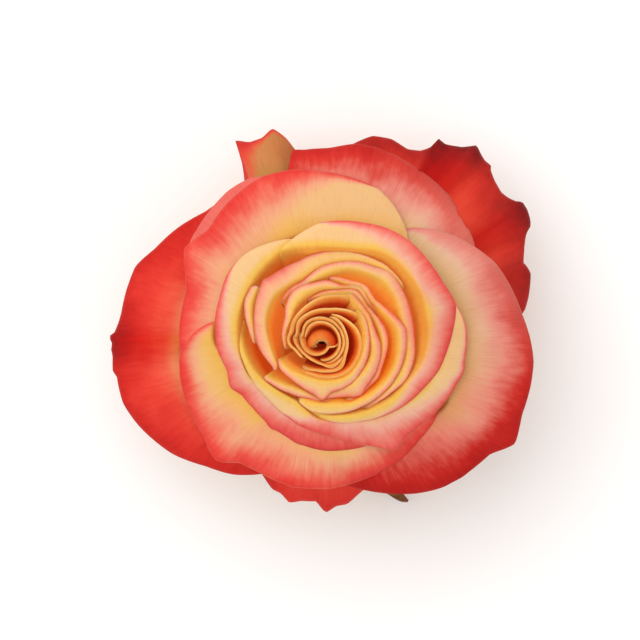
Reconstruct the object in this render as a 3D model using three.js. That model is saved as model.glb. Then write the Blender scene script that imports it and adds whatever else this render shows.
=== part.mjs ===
// An opened rose head, cut just under its hip and lying face up.
// Units are millimetres, +Z is up, and the spiral heart of the bloom stands on the Z axis.
// The head rests at z = 0 on the cut end of its stem and on the bent backs of its sepals.
import * as THREE from "three";
import { mergeVertices } from "three/addons/utils/BufferGeometryUtils.js";

const DEG = Math.PI / 180;
const PETAL_THICKNESS = 0.6;
const SEPAL_THICKNESS = 0.9;

// The seat is the top of the hip, a low cone that carries the foot of every petal.
const SEAT_RADIUS = 9.6;
const SEAT_HEIGHT = 13;
const SEAT_CONE = 14;
const SEAT_CLEARANCE = 0.35;

// The petals are ranked from the heart outward. With each step of rank a petal's foot stands
// further out and lower on the seat, and its belly, the fullest place low down, is wider.
const INNER_FOOT = 0.9;
const FOOT_PITCH = 0.23;
const INNER_BELLY = 2;
const BELLY_PITCH = 0.82;
const INNER_BELLY_HEIGHT = 34;
const BELLY_FALL = 0.25;

// The foot is this share of the petal's full width round the axis.
const CLAW_SHARE = 0.2;
// How late the lip bends down on its way to the edge.
const LIP_CURL = 1.7;
// Distances kept between two petals that lie on each other, at the wall and at the lip.
const LAYER = 1.12;
const LIP_LAYER = 1.2;
// A lip narrower than this has no room under it, so the next petal stays outside its edge.
const NARROW_LIP = 1.2;
// Degrees that a petal's ends are kept clear of, beyond its own edge.
const END_MARGIN = 2;
// Rows of points up the wall of a petal: 0 at the foot, 1 at the belly, 2 at the fold.
const WALL_ROWS = [0, 0.3, 0.6, 1, 1.45, 1.8, 2];
// Places between two columns where the distance to the petals inside is looked at.
const SHARES = [0, 1, 0.5, 0.25, 0.75, 0.5];

// Each petal, from the heart outward, is given by its upper edge seen from above, anticlockwise:
// angle in degrees, distance of the edge from the axis, width of the lip that rolls outward.
// ridge: height of the fold where the lip starts. droop: fall of the lip per millimetre of width.
// shoulder: how far inside the fold the wall still leans out. rank: place counted from the heart.
// middle: angle of the foot where it stands aside. drops: how far the two ends of the fold fall.
const PETALS = {
  heart_petal_10: {
    ridge: 54, droop: 0.4, shoulder: 0.8, rank: 0, drops: [0.6, 0.6],
    edge: [[-40, 1.9, 0.2], [0, 2.1, 0.25], [45, 2.4, 0.3], [90, 2.6, 0.3], [135, 2.7, 0.3],
      [175, 2.6, 0.2]],
  },
  heart_petal_09: {
    ridge: 55, droop: 0.5, shoulder: 0.8, rank: 1.1, drops: [0.9, 0.6],
    edge: [[168, 5.5, 0.25], [188, 5.1, 0.35], [208, 4.7, 0.35], [226, 4.2, 0.35],
      [244, 3.5, 0.35], [262, 2.9, 0.35], [284, 2.5, 0.35], [308, 2.3, 0.3], [334, 1.9, 0.2]],
  },
  heart_petal_08: {
    ridge: 55.2, droop: 0.5, shoulder: 0.8, rank: 2.2, drops: [0.9, 0.9],
    edge: [[276, 4.6, 0.25], [300, 4.7, 0.3], [330, 4.5, 0.3], [357, 4.1, 0.3], [385, 3.9, 0.3],
      [412, 4.2, 0.3], [440, 4.6, 0.3], [465, 4.9, 0.3], [490, 4.9, 0.3], [515, 4.1, 0.25]],
  },
  heart_petal_07: {
    ridge: 55.6, droop: 0.5, shoulder: 0.8, rank: 3.3, drops: [0.9, 0.9],
    edge: [[34, 5, 0.25], [50, 5.3, 0.3], [75, 5.7, 0.35], [100, 5.8, 0.35], [125, 5.9, 0.4],
      [148, 5.6, 0.4], [163, 5, 0.3]],
  },
  heart_petal_06: {
    ridge: 56, droop: 0.5, shoulder: 0.8, rank: 4.4, drops: [0.9, 0.9],
    edge: [[284, 5.1, 0.3], [305, 5.5, 0.3], [325, 5.5, 0.3], [345, 5.3, 0.3], [365, 5, 0.3],
      [389, 4.9, 0.25]],
  },
  heart_petal_05: {
    ridge: 56.4, droop: 0.5, shoulder: 0.8, rank: 5.6, drops: [0.9, 0.9],
    edge: [[171, 7.1, 0.3], [182, 6.7, 0.35], [200, 6.1, 0.35], [220, 5.5, 0.35], [245, 5.4, 0.35],
      [270, 5.8, 0.35], [292, 6.2, 0.3], [315, 6.3, 0.3]],
  },
  heart_petal_04: {
    ridge: 56.6, droop: 0.5, shoulder: 0.8, rank: 6.8, middle: 300, drops: [0.9, 0.9],
    edge: [[240, 8.1, 0.3], [258, 7.6, 0.4], [280, 7.1, 0.5], [305, 7, 0.6], [330, 6.9, 0.6],
      [352, 6.6, 0.7], [372, 6.4, 0.9], [390, 6.4, 1.1], [408, 6.3, 0.8], [424, 5.7, 0.3]],
  },
  heart_petal_03: {
    ridge: 57.4, droop: 0.5, shoulder: 0.8, rank: 8.2, middle: 362, drops: [0.9, 0.9],
    edge: [[244, 8.3, 0.3], [262, 9, 0.3], [285, 9.5, 0.35], [310, 10.2, 0.35], [335, 10.1, 0.35],
      [360, 9.9, 0.35], [380, 9.2, 0.3], [402, 8.1, 0.3], [422, 7.2, 0.3]],
  },
  heart_petal_02: {
    ridge: 57, droop: 0.5, shoulder: 0.8, rank: 9.3, drops: [0.9, 0.9],
    edge: [[34, 11.4, 0.3], [48, 10.3, 0.3], [62, 9.2, 0.3], [78, 8.3, 0.35], [98, 8, 0.35],
      [120, 7.9, 0.4], [140, 7.9, 0.4], [152, 7.3, 0.4], [165, 6.4, 0.3]],
  },
  heart_petal_01: {
    ridge: 57.8, droop: 0.5, shoulder: 0.8, rank: 10.7, drops: [0.9, 0.9],
    edge: [[58, 13.2, 0.3], [75, 12, 0.4], [90, 11.1, 0.5], [108, 10, 0.5], [126, 9.3, 0.5],
      [150, 8.8, 0.5], [165, 8.2, 0.5], [180, 7.7, 0.5], [195, 7.1, 0.4], [213, 6.1, 0.3]],
  },
  inner_petal_07: {
    ridge: 59.4, droop: 0.45, shoulder: 2, rank: 11.7, drops: [1.2, 1.2],
    edge: [[190, 12.6, 0.6], [198, 13.2, 0.9], [206, 13.3, 1.2], [214, 12.9, 1.3],
      [226, 12.1, 1.2], [238, 12.2, 2], [250, 12.7, 2.8], [262, 13.4, 3.6], [270, 14.9, 4.4],
      [280, 12.8, 2.6], [295, 12.4, 2.1], [312, 12.3, 1.5], [330, 12.1, 1.2], [348, 11.9, 0.9],
      [366, 11.8, 0.6], [384, 12, 0.3]],
  },
  inner_petal_04: {
    ridge: 59.6, droop: 0.45, shoulder: 2, rank: 13.2, middle: 315, drops: [1.2, 1.5],
    edge: [[258, 14.9, 0.7], [270, 14.5, 1], [282, 14.4, 1.3], [294, 15, 2.1], [306, 16.8, 3.6],
      [315, 15.7, 2.5], [330, 15.4, 2.1], [345, 15, 1.6], [358, 14.4, 1.5], [370, 13.3, 1.1],
      [380, 12.6, 0.7], [395, 12.3, 0.4], [420, 12, 0.3]],
  },
  inner_petal_08: {
    ridge: 58.8, droop: 0.45, shoulder: 2, rank: 14.4, middle: 405, drops: [0.9, 1.2],
    edge: [[308, 16.6, 0.4], [328, 16.1, 0.6], [345, 16.1, 0.8], [360, 16.4, 1.2], [372, 15.9, 1],
      [384, 15.2, 0.6], [398, 14.6, 0.4], [415, 13.8, 0.3], [432, 12.7, 0.3], [450, 11.6, 0.3]],
  },
  inner_petal_06: {
    ridge: 59.3, droop: 0.45, shoulder: 2, rank: 15.7, drops: [1.2, 1.2],
    edge: [[26, 17, 0.4], [40, 15.5, 0.5], [55, 14.7, 0.5], [70, 14.4, 0.6], [85, 15.1, 1.2],
      [98, 14.6, 1.4], [110, 14.7, 2.1], [120, 14.4, 2.6], [128, 13.5, 2.3], [136, 12.4, 2],
      [146, 10.9, 1.2], [158, 10.3, 0.7], [170, 10, 0.4], [182, 9.6, 0.3]],
  },
  inner_petal_05: {
    ridge: 59, droop: 0.45, shoulder: 2, rank: 16.6, drops: [1.2, 1.2],
    edge: [[202, 16.9, 1], [213, 16.4, 1.2], [226, 15.9, 1.2], [240, 15.4, 1.1], [254, 15, 0.9],
      [272, 15.3, 0.6]],
  },
  inner_petal_03: {
    ridge: 60, droop: 0.4, shoulder: 2, rank: 17.8, drops: [1.2, 1.5],
    edge: [[-108, 16.4, 0.7], [-98, 17.5, 1.6], [-84, 18, 2], [-70, 18.5, 2], [-58, 18.9, 1.3],
      [-44, 19.5, 0.9], [-30, 20.1, 0.9], [-15, 20.6, 0.9], [-2, 20.8, 1.3], [8, 21.1, 1.6],
      [18, 19.2, 0.9], [28, 17.7, 0.8], [38, 16.6, 0.6], [50, 16, 0.5], [64, 15.9, 0.4],
      [80, 16.4, 0.3]],
  },
  inner_petal_02: {
    ridge: 59.5, droop: 0.4, shoulder: 2, rank: 19.2, middle: 60, drops: [1.5, 1.5],
    edge: [[-38, 20.6, 1], [-24, 22.6, 1.8], [-10, 23.2, 2], [4, 22.9, 2.2], [18, 23.1, 2.5],
      [32, 23.6, 2.2], [45, 23.9, 2.4], [55, 22.5, 1.8], [66, 21.6, 1.6], [77, 20.1, 1.7],
      [88, 18.7, 1.9], [98, 17.1, 1.6], [108, 15.7, 1.1], [120, 15.3, 0.6]],
  },
  inner_petal_01: {
    ridge: 59, droop: 0.45, shoulder: 2, rank: 20.5, drops: [1.5, 1.8],
    edge: [[50, 24.4, 1], [62, 23.8, 1.6], [75, 23.1, 2.4], [88, 22.4, 3.4], [98, 21.4, 3.6],
      [107, 20.5, 3.7], [120, 20, 3.8], [134, 20.5, 4.3], [146, 19.6, 3.8], [157, 18.7, 3.4],
      [167, 17.4, 2.9], [180, 16.6, 3.4], [190, 15.8, 3], [198, 15.1, 2.2], [205, 14.5, 1.4],
      [211, 13.9, 0.8]],
  },
  inner_petal_09: {
    ridge: 58.5, droop: 0.4, shoulder: 2, rank: 22, middle: 178, drops: [1.2, 1.2],
    edge: [[118, 23, 1.2], [130, 22.6, 1.5], [142, 22.2, 1.5], [152, 21.6, 1.4], [160, 20.3, 1.2],
      [168, 18.8, 0.9], [178, 17.4, 0.6]],
  },
  ring_petal_right: {
    ridge: 59.5, droop: 0.4, shoulder: 3.2, rank: 23.2, drops: [1.8, 1.8],
    edge: [[258, 17.2, 0.8], [270, 19, 1], [284, 20.7, 1.5], [298, 22.2, 1.8], [311, 24.1, 2.6],
      [323, 25.9, 3], [335, 27.6, 3.7], [346, 29.7, 4.6], [356, 31.1, 5.6], [366, 32.7, 7],
      [375.5, 34.4, 8.7], [386, 33.3, 6.4], [396, 33, 5.9], [408, 33, 6.2], [420, 32.2, 6.1],
      [432, 30.9, 5.6], [443, 30, 5], [451, 28.8, 4.4], [460, 27.2, 3.1], [468, 25.9, 1.6],
      [478, 24.4, 0.6]],
  },
  ring_petal_bottom: {
    ridge: 58.5, droop: 0.42, shoulder: 3.2, rank: 25.1, drops: [1.5, 1.8],
    edge: [[194, 17.9, 1.2], [206, 18.8, 1.9], [220, 19.2, 2.6], [234, 19.7, 3.3],
      [246, 20.6, 4.3], [258, 21.7, 4.9], [269, 22.8, 4.9], [278, 24.1, 5], [286, 26, 5.8],
      [295, 28.4, 7], [304, 32.4, 9], [311, 31.6, 8], [319, 31.9, 7.5], [328, 33.2, 7],
      [338, 34.6, 7], [349, 35.6, 6.5], [360, 35.9, 6], [369, 35.5, 5.5], [378, 34, 4.5],
      [392, 30, 3]],
  },
  ring_petal_left: {
    ridge: 57.5, droop: 0.42, shoulder: 3.2, rank: 27, drops: [1.5, 1.8],
    edge: [[126, 27.8, 4], [138, 29.2, 6.2], [147, 28.5, 5.8], [157, 27.6, 5.4], [168, 27.1, 5.2],
      [178, 26.4, 5.2], [188, 25.4, 4.9], [197, 24.6, 4.6], [207, 25.3, 5.3], [214, 23.9, 4.8],
      [224, 23.8, 4.7], [236, 24.3, 4.7], [248, 25.1, 4.8], [260, 26.2, 5], [271, 27.1, 5.4],
      [283, 27.6, 5.5], [293, 28.1, 5.2], [306, 27.6, 3.6]],
  },
  outer_petal_lower_left: {
    ridge: 55.3, droop: 0.42, shoulder: 7, rank: 28.7, drops: [0.6, 1.8],
    edge: [[181, 34.6, 7], [186, 35.6, 10], [194, 36.4, 12], [202, 36.9, 13], [210, 37.3, 14],
      [219, 37.8, 15], [228.5, 39.8, 16.5], [236, 36.6, 14.5], [244, 36.2, 14], [252, 36.6, 14],
      [262, 36.9, 14], [272, 36.7, 13], [282, 36.2, 12.5], [292, 35.7, 11], [304, 35.4, 10],
      [314, 34.4, 8], [325, 34.1, 6], [336, 32, 4]],
  },
  outer_petal_upper_left: {
    ridge: 54, droop: 0.48, shoulder: 7, rank: 30.2, drops: [1.5, 2.7],
    edge: [[50, 33.5, 4], [57, 36.2, 8], [63, 38.4, 11], [70, 40.3, 13.5], [80, 41.4, 15.5],
      [90, 42.3, 16.5], [100, 43.4, 17.5], [110, 43.7, 18.5], [118, 42.6, 18.5], [126, 41.5, 18],
      [136, 39.7, 16.5], [146, 41.4, 17], [153, 38.2, 14], [160, 36, 13], [170, 35.8, 12.5],
      [180, 35.6, 12.5], [190, 34.5, 11], [202, 31.5, 8], [214, 28, 4]],
  },
  guard_petal_right: {
    ridge: 52.5, droop: 0.42, shoulder: 14, rank: 31.7, drops: [1.8, 2.1],
    edge: [[-92, 32, 4], [-84, 35, 7], [-75, 38.3, 9], [-66, 41.6, 11], [-58, 44.9, 13],
      [-50, 47.5, 15], [-42, 49, 16], [-34, 50.7, 17], [-28, 54.7, 19.3], [-20, 53.2, 19],
      [-12, 53.3, 19], [-6, 53.2, 19], [1, 52, 18], [8, 50.5, 17], [16, 49, 16], [24, 47.4, 15],
      [32, 44.6, 13], [39, 41.8, 11], [45.4, 39, 8], [51, 36.2, 6], [58, 32, 4]],
  },
  guard_petal_upper_left: {
    ridge: 49, droop: 0.55, shoulder: 14, rank: 31.9, drops: [1.8, 2.1],
    edge: [[92, 38, 6], [104, 42.5, 12], [114, 44.6, 15], [122, 44.4, 15], [130, 43.2, 14],
      [140, 41.7, 12], [149, 39.6, 10], [160, 35, 6]],
  },
  guard_petal_top: {
    ridge: 47.5, droop: 0.52, shoulder: 14, rank: 33.2, middle: 78, drops: [1.8, 1.8],
    edge: [[18, 40, 8], [33, 45.4, 13], [42, 47, 15], [50, 48.7, 17], [60, 49.4, 17],
      [70, 50.2, 17], [79, 50.4, 17.3], [88, 48.5, 16], [95, 48, 15], [99, 48.3, 15],
      [101.5, 46.5, 14], [108, 40, 8]],
  },
  guard_petal_left: {
    ridge: 45.5, droop: 0.62, shoulder: 14, rank: 33.3, drops: [2.1, 2.4],
    edge: [[110, 40, 8], [120, 43, 12], [132, 43.7, 14], [142, 46, 15.5], [151, 48, 16],
      [158.5, 50.6, 17], [168, 50.5, 17], [176, 53.5, 18.2], [183, 52.4, 17], [188.7, 52.9, 17],
      [190.5, 52, 17], [198, 52, 17], [207, 49.7, 16], [217, 46.9, 15], [227, 42.9, 13],
      [236, 40.3, 11.3], [246, 36.5, 7.8], [256, 32, 3.6]],
  },
  guard_petal_ruffled: {
    ridge: 43.5, droop: 0.7, shoulder: 14, rank: 35, middle: 26, drops: [1.5, 1.8],
    edge: [[2, 46, 8], [9, 50.6, 14], [13, 53.2, 16], [17.5, 55.2, 18], [20.5, 54.8, 18],
      [23, 55.1, 18], [27.5, 57.6, 19], [30.5, 60.4, 20], [34.5, 61.1, 21], [37.5, 58.9, 20],
      [41.5, 58.4, 19], [44.5, 59.5, 19], [48, 60.9, 20], [51.8, 62.3, 21], [54.5, 60, 20],
      [57.5, 58.2, 18], [60, 58.2, 17], [61.2, 54.6, 16], [65, 52.7, 15], [71, 53.4, 15],
      [76, 52.5, 14], [81, 49.5, 12], [90, 42, 7]],
  },
  guard_petal_bottom: {
    ridge: 41, droop: 0.7, shoulder: 14, rank: 34.8, drops: [1.5, 1.5],
    edge: [[237, 33.4, 3], [247, 37.3, 7], [251.5, 39.3, 9], [255, 39.8, 9.5], [258.7, 41.6, 11],
      [262.5, 40.6, 10], [268, 40.3, 9.5], [271.3, 43.2, 11.4], [275, 41.7, 10.5],
      [278.5, 41.6, 10.4], [283, 39.8, 8.4], [290, 37.5, 5.5], [302, 34.5, 2]],
  },
  guard_petal_folded: {
    ridge: 39, droop: 0.75, shoulder: 14, rank: 35.1, drops: [0.6, 0.6],
    edge: [[94, 44, 8], [98.3, 49, 13], [100.4, 52.4, 16], [103.2, 55.2, 18], [106.5, 53.6, 17],
      [110, 53.6, 17], [113.4, 54.8, 18], [114.2, 49, 15], [117, 43, 10]],
  },
};

function seatHeightAt(radius) {
  return SEAT_HEIGHT + SEAT_CONE * (1 - Math.min(1, radius / SEAT_RADIUS));
}

function bezier(a, b, c, d, t) {
  const s = 1 - t;
  return s * s * s * a + 3 * s * s * t * b + 3 * s * t * t * c + t * t * t * d;
}

// Height of a column's lip at a distance from the axis.
function lipHeight(column, radius) {
  const along = Math.max(0, radius - column.fold) / column.lip;
  return column.height - column.droop * column.lip * along ** LIP_CURL;
}

// The column of a laid petal at an angle, or nothing where the petal doesn't reach.
function columnAt(columns, angle) {
  const first = columns[0].angle;
  const last = columns[columns.length - 1].angle;
  for (const turn of [-720, -360, 0, 360, 720]) {
    const at = angle + turn;
    if (at < first - END_MARGIN || at > last + END_MARGIN) continue;
    const held = Math.min(last, Math.max(first, at));
    const next = Math.max(1, columns.findIndex((column) => column.angle >= held));
    const [a, b] = [columns[next - 1], columns[next]];
    return between(a, b, (held - a.angle) / (b.angle - a.angle));
  }
  return undefined;
}

function between(a, b, share) {
  return Object.fromEntries(Object.keys(a).map((key) => [key, a[key] + (b[key] - a[key]) * share]));
}

// Looks at places along a row of columns and adds what each place lacks to the columns beside it.
function mend(columns, key, lackAt) {
  for (const share of SHARES) {
    for (let k = 1; k < columns.length; k += 1) {
      const [a, b] = [columns[k - 1], columns[k]];
      const lack = lackAt(between(a, b, share)) / ((1 - share) ** 2 + share ** 2);
      a[key] += lack * (1 - share);
      b[key] += lack * share;
    }
  }
}

function bellyRadius(petal) {
  return INNER_BELLY + BELLY_PITCH * petal.rank;
}

// The columns as the petal would stand alone.
function freeColumns(petal) {
  const last = petal.edge.length - 1;
  return petal.edge.map(([angle, edge, lip], i) => {
    const startFall = petal.drops[0] * Math.max(0, 1 - i / 1.6) ** 2;
    const endFall = petal.drops[1] * Math.max(0, 1 - (last - i) / 1.6) ** 2;
    const fold = edge - lip;
    const lean = Math.min(petal.shoulder, Math.max(0.8, 0.6 * (fold - bellyRadius(petal))));
    const height = petal.ridge - startFall - endFall;
    return { angle, edge, lip, fold, shoulder: fold - lean, droop: petal.droop, height };
  });
}

// How far a column's lip comes short of lying under the lip of a petal nearer the heart.
function lipLack(near, at) {
  const reach = Math.min(near.edge + 0.6, at.edge);
  let lack = 0;
  for (let k = 0; k <= 4 && reach > at.fold; k += 1) {
    const radius = at.fold + ((reach - at.fold) * k) / 4;
    const room = lipHeight(near, Math.min(radius, near.edge)) - LIP_LAYER - lipHeight(at, radius);
    lack = Math.min(lack, room);
  }
  return lack;
}

// Each petal is laid round the ones nearer the heart: its wall outside theirs, its lip under theirs.
function layPetal(petal, laid) {
  const columns = freeColumns(petal);
  const innerAt = (angle) => laid.map((other) => columnAt(other, angle)).filter((found) => found);
  mend(columns, "fold", (at) => Math.max(0, ...innerAt(at.angle).map((near) => (
    (near.lip < NARROW_LIP ? near.edge : near.fold) + LAYER - at.fold))));
  mend(columns, "shoulder", (at) => Math.max(0, ...innerAt(at.angle).map((near) => (
    Math.max(near.shoulder + LAYER, near.edge < at.fold ? near.edge : 0) - at.shoulder))));
  for (const column of columns) {
    column.edge = Math.max(column.edge, column.fold + 0.3);
    column.lip = column.edge - column.fold;
  }
  mend(columns, "height", (at) => Math.min(0, ...innerAt(at.angle).map((near) => lipLack(near, at))));
  return columns;
}

// One point of a petal's wall below the belly.
function lowPoint(petal, v) {
  const foot = INNER_FOOT + FOOT_PITCH * petal.rank;
  const footHeight = seatHeightAt(foot) + SEAT_CLEARANCE + PETAL_THICKNESS / 2;
  const belly = bellyRadius(petal);
  const bellyHeight = INNER_BELLY_HEIGHT - BELLY_FALL * petal.rank;
  const radius = bezier(foot, foot + 0.6 * (belly - foot), belly, belly, v);
  const middleHeight = footHeight + 0.5 * (bellyHeight - footHeight);
  return { radius, height: bezier(footHeight, footHeight + 0.5, middleHeight, bellyHeight, v) };
}

// One petal point: row v runs from 0 at the foot over 1 at the belly and 2 at the fold to 3.
function petalPoint(petal, columns, i, v) {
  const column = columns[i];
  const middle = petal.middle ?? (columns[0].angle + columns[columns.length - 1].angle) / 2;
  const low = Math.min(1, v);
  const spread = CLAW_SHARE + (1 - CLAW_SHARE) * low * low * (3 - 2 * low);
  const angle = middle + (column.angle - middle) * spread;
  if (v <= 1) return { angle, ...lowPoint(petal, v) };
  if (v <= 2) {
    const belly = lowPoint(petal, 1);
    const steep = belly.height + 0.35 * (column.height - belly.height);
    const radius = bezier(belly.radius, belly.radius, column.shoulder, column.fold, v - 1);
    return { angle, radius, height: bezier(belly.height, steep, column.height, column.height, v - 1) };
  }
  const radius = column.fold + column.lip * (v - 2);
  return { angle, radius, height: lipHeight(column, radius) };
}

function placed(grid) {
  return grid.map((line) => line.map(({ angle, radius, height }) => (
    new THREE.Vector3(radius * Math.cos(angle * DEG), radius * Math.sin(angle * DEG), height))));
}

// A wide lip has more rows of points than a narrow one.
function rowsOf(petal) {
  const widest = Math.max(...petal.edge.map((point) => point[2]));
  if (widest > 10) return [...WALL_ROWS, 2.33, 2.67, 3];
  if (widest > 3) return [...WALL_ROWS, 2.5, 3];
  return [...WALL_ROWS, 3];
}

function normalAt(grid, i, j) {
  const columns = grid.length - 1;
  const rows = grid[0].length - 1;
  const across = grid[Math.min(columns, i + 1)][j].clone().sub(grid[Math.max(0, i - 1)][j]);
  const along = grid[i][Math.min(rows, j + 1)].clone().sub(grid[i][Math.max(0, j - 1)]);
  return along.cross(across).normalize();
}

// A blade of even thickness on a grid of points, closed all round.
function bladeGeometry(grid, thickness) {
  const columns = grid.length;
  const rows = grid[0].length;
  const positions = [];
  for (const side of [0.5, -0.5]) {
    grid.forEach((line, i) => line.forEach((point, j) => {
      const shift = normalAt(grid, i, j).multiplyScalar(side * thickness);
      positions.push(...point.clone().add(shift).toArray());
    }));
  }
  const front = (i, j) => i * rows + j;
  const back = (i, j) => columns * rows + i * rows + j;
  const triangles = [];
  for (let i = 0; i < columns - 1; i += 1) {
    for (let j = 0; j < rows - 1; j += 1) {
      triangles.push(front(i, j), front(i, j + 1), front(i + 1, j + 1));
      triangles.push(front(i, j), front(i + 1, j + 1), front(i + 1, j));
      triangles.push(back(i, j), back(i + 1, j + 1), back(i, j + 1));
      triangles.push(back(i, j), back(i + 1, j), back(i + 1, j + 1));
    }
  }
  const skirt = [];
  for (let i = 0; i < columns; i += 1) skirt.push([i, 0]);
  for (let j = 1; j < rows; j += 1) skirt.push([columns - 1, j]);
  for (let i = columns - 2; i >= 0; i -= 1) skirt.push([i, rows - 1]);
  for (let j = rows - 2; j > 0; j -= 1) skirt.push([0, j]);
  skirt.forEach(([i, j], k) => {
    const [m, n] = skirt[(k + 1) % skirt.length];
    triangles.push(front(i, j), front(m, n), back(m, n));
    triangles.push(front(i, j), back(m, n), back(i, j));
  });
  const geometry = new THREE.BufferGeometry();
  geometry.setAttribute("position", new THREE.Float32BufferAttribute(positions, 3));
  geometry.setIndex(triangles);
  return geometry;
}

// The hip, its seat and the short stem under it grew as one piece, turned round the axis.
const HIP_OUTLINE = [[0, 0], [2.7, 0], [2.8, 0.5], [2.7, 3.2], [3.6, 4.6], [5.4, 6.2], [6.6, 8.2],
  [6.9, 10], [6.6, 11.6], [7, 12.6], [SEAT_RADIUS, SEAT_HEIGHT]];
const HIP_SIDES = 24;

function hipGeometry() {
  const outline = HIP_OUTLINE.map(([radius, height]) => new THREE.Vector2(radius, height));
  outline.push(new THREE.Vector2(0, seatHeightAt(0)));
  const lathe = new THREE.LatheGeometry(outline, HIP_SIDES);
  lathe.rotateX(Math.PI / 2);
  lathe.deleteAttribute("normal");
  lathe.deleteAttribute("uv");
  return mergeVertices(lathe, 1e-4);
}

// A sepal leaves the hip level, arches down onto the ground and lifts its tip again.
// heading: its angle round the hip. reach and sideways: where its tip lies, along and across it.
// lobes: whether its left and its right edge carry the small side leaflets.
const SEPALS = {
  sepal_front: { heading: 285, reach: 44.5, sideways: 10.3, tipHeight: 5, lobes: [0, 0] },
  sepal_right: { heading: 357, reach: 39, sideways: -4, tipHeight: 4, lobes: [0, 1] },
  sepal_back_right: { heading: 69, reach: 37, sideways: 3, tipHeight: 3.5, lobes: [1, 1] },
  sepal_back_left: { heading: 141, reach: 38, sideways: -3, tipHeight: 4, lobes: [0, 0] },
  sepal_left: { heading: 213, reach: 36, sideways: 4, tipHeight: 3.5, lobes: [1, 1] },
};
const SEPAL_ROOT_RADIUS = 7.4;
const SEPAL_ROOT_HEIGHT = 10.4;
const SEPAL_KEEL = 0.22;
// Along a sepal: place, half width, extra half width where a side leaflet stands out.
const SEPAL_WIDTHS = [[0, 2.9, 0], [0.1, 3.6, 0], [0.22, 3.8, 0], [0.34, 3.4, 0.2], [0.4, 3.2, 2.6],
  [0.46, 2.9, 0.2], [0.54, 2.6, 0], [0.6, 2.4, 2], [0.66, 2.1, 0.1], [0.76, 1.7, 0], [0.86, 1.3, 0],
  [0.94, 1, 0], [1, 0.4, 0]];
const SEPAL_ACROSS = [-1, -0.5, 0, 0.5, 1];

function sepalPoint(sepal, [place, halfWidth, leaflet], across) {
  const along = bezier(SEPAL_ROOT_RADIUS, 20, sepal.reach - 5.3, sepal.reach, place);
  const sideways = bezier(0, 0, 0.3 * sepal.sideways, sepal.sideways, place);
  const height = bezier(SEPAL_ROOT_HEIGHT, 14, -7.4, sepal.tipHeight, place);
  const step = 0.01;
  const alongStep = bezier(SEPAL_ROOT_RADIUS, 20, sepal.reach - 5.3, sepal.reach, place + step) - along;
  const sideStep = bezier(0, 0, 0.3 * sepal.sideways, sepal.sideways, place + step) - sideways;
  const length = Math.hypot(alongStep, sideStep);
  const lobed = across < 0 ? sepal.lobes[0] : sepal.lobes[1];
  const width = across * (halfWidth + (Math.abs(across) === 1 ? lobed * leaflet : 0));
  const x = along - (sideStep / length) * width;
  const y = sideways + (alongStep / length) * width;
  const z = height + SEPAL_KEEL * Math.abs(across) * halfWidth;
  return new THREE.Vector3(x, y, z).applyAxisAngle(new THREE.Vector3(0, 0, 1), sepal.heading * DEG);
}

function sepalGeometry(sepal) {
  const grid = SEPAL_ACROSS.map((across) => SEPAL_WIDTHS.map((row) => sepalPoint(sepal, row, across)));
  const geometry = bladeGeometry(grid.reverse(), SEPAL_THICKNESS);
  const position = geometry.attributes.position;
  for (let k = 0; k < position.count; k += 1) {
    position.setZ(k, Math.max(0, position.getZ(k)));
  }
  return geometry;
}

const MATERIALS = {
  guard: new THREE.MeshStandardMaterial({ name: "guard_petal", color: 0xd0473c, roughness: 0.6 }),
  outer: new THREE.MeshStandardMaterial({ name: "outer_petal", color: 0xec9a7d, roughness: 0.6 }),
  ring: new THREE.MeshStandardMaterial({ name: "ring_petal", color: 0xf0b08c, roughness: 0.6 }),
  inner: new THREE.MeshStandardMaterial({ name: "inner_petal", color: 0xeba650, roughness: 0.6 }),
  heart: new THREE.MeshStandardMaterial({ name: "heart_petal", color: 0xd4692e, roughness: 0.6 }),
  green: new THREE.MeshStandardMaterial({ name: "calyx", color: 0x6f8c46, roughness: 0.7 }),
};

const object = new THREE.Group();
object.name = "rose_head";

function addPiece(name, geometry, material) {
  geometry.computeVertexNormals();
  const mesh = new THREE.Mesh(geometry, material);
  mesh.name = name;
  object.add(mesh);
}

addPiece("hip_with_cut_stem", hipGeometry(), MATERIALS.green);
for (const [name, sepal] of Object.entries(SEPALS)) addPiece(name, sepalGeometry(sepal), MATERIALS.green);

const laid = [];
for (const [name, petal] of Object.entries(PETALS)) {
  const columns = layPetal(petal, laid);
  const grid = columns.map((_, i) => rowsOf(petal).map((v) => petalPoint(petal, columns, i, v)));
  addPiece(name, bladeGeometry(placed(grid), PETAL_THICKNESS), MATERIALS[name.split("_")[0]]);
  laid.push(columns);
}

export default object;
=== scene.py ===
"""An opened rose head seen from straight above, lying face up on a pale surface."""

import math

import bpy
import numpy as np
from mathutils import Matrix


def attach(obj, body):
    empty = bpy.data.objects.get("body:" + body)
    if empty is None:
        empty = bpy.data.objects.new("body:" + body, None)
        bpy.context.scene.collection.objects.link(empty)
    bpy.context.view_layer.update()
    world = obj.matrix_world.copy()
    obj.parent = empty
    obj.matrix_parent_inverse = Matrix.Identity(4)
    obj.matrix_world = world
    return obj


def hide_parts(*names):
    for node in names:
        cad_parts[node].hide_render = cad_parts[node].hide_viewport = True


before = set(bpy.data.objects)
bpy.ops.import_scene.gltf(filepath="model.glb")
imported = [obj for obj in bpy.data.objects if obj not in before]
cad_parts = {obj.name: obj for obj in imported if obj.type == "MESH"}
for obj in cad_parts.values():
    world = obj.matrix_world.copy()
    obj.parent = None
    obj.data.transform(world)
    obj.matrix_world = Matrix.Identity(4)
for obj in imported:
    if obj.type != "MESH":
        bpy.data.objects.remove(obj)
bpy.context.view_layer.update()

# The camera looks straight down on the bloom, from far enough off that near and far petals
# keep their true proportions. The picture is 160 mm wide at the height of the widest petals.
PICTURE_WIDTH = 0.160
CAMERA_HEIGHT = 1.3
RIM_HEIGHT = 0.046
PICTURE_CENTRE = (-0.0005, 0.00525)
SENSOR_WIDTH = 36
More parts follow.
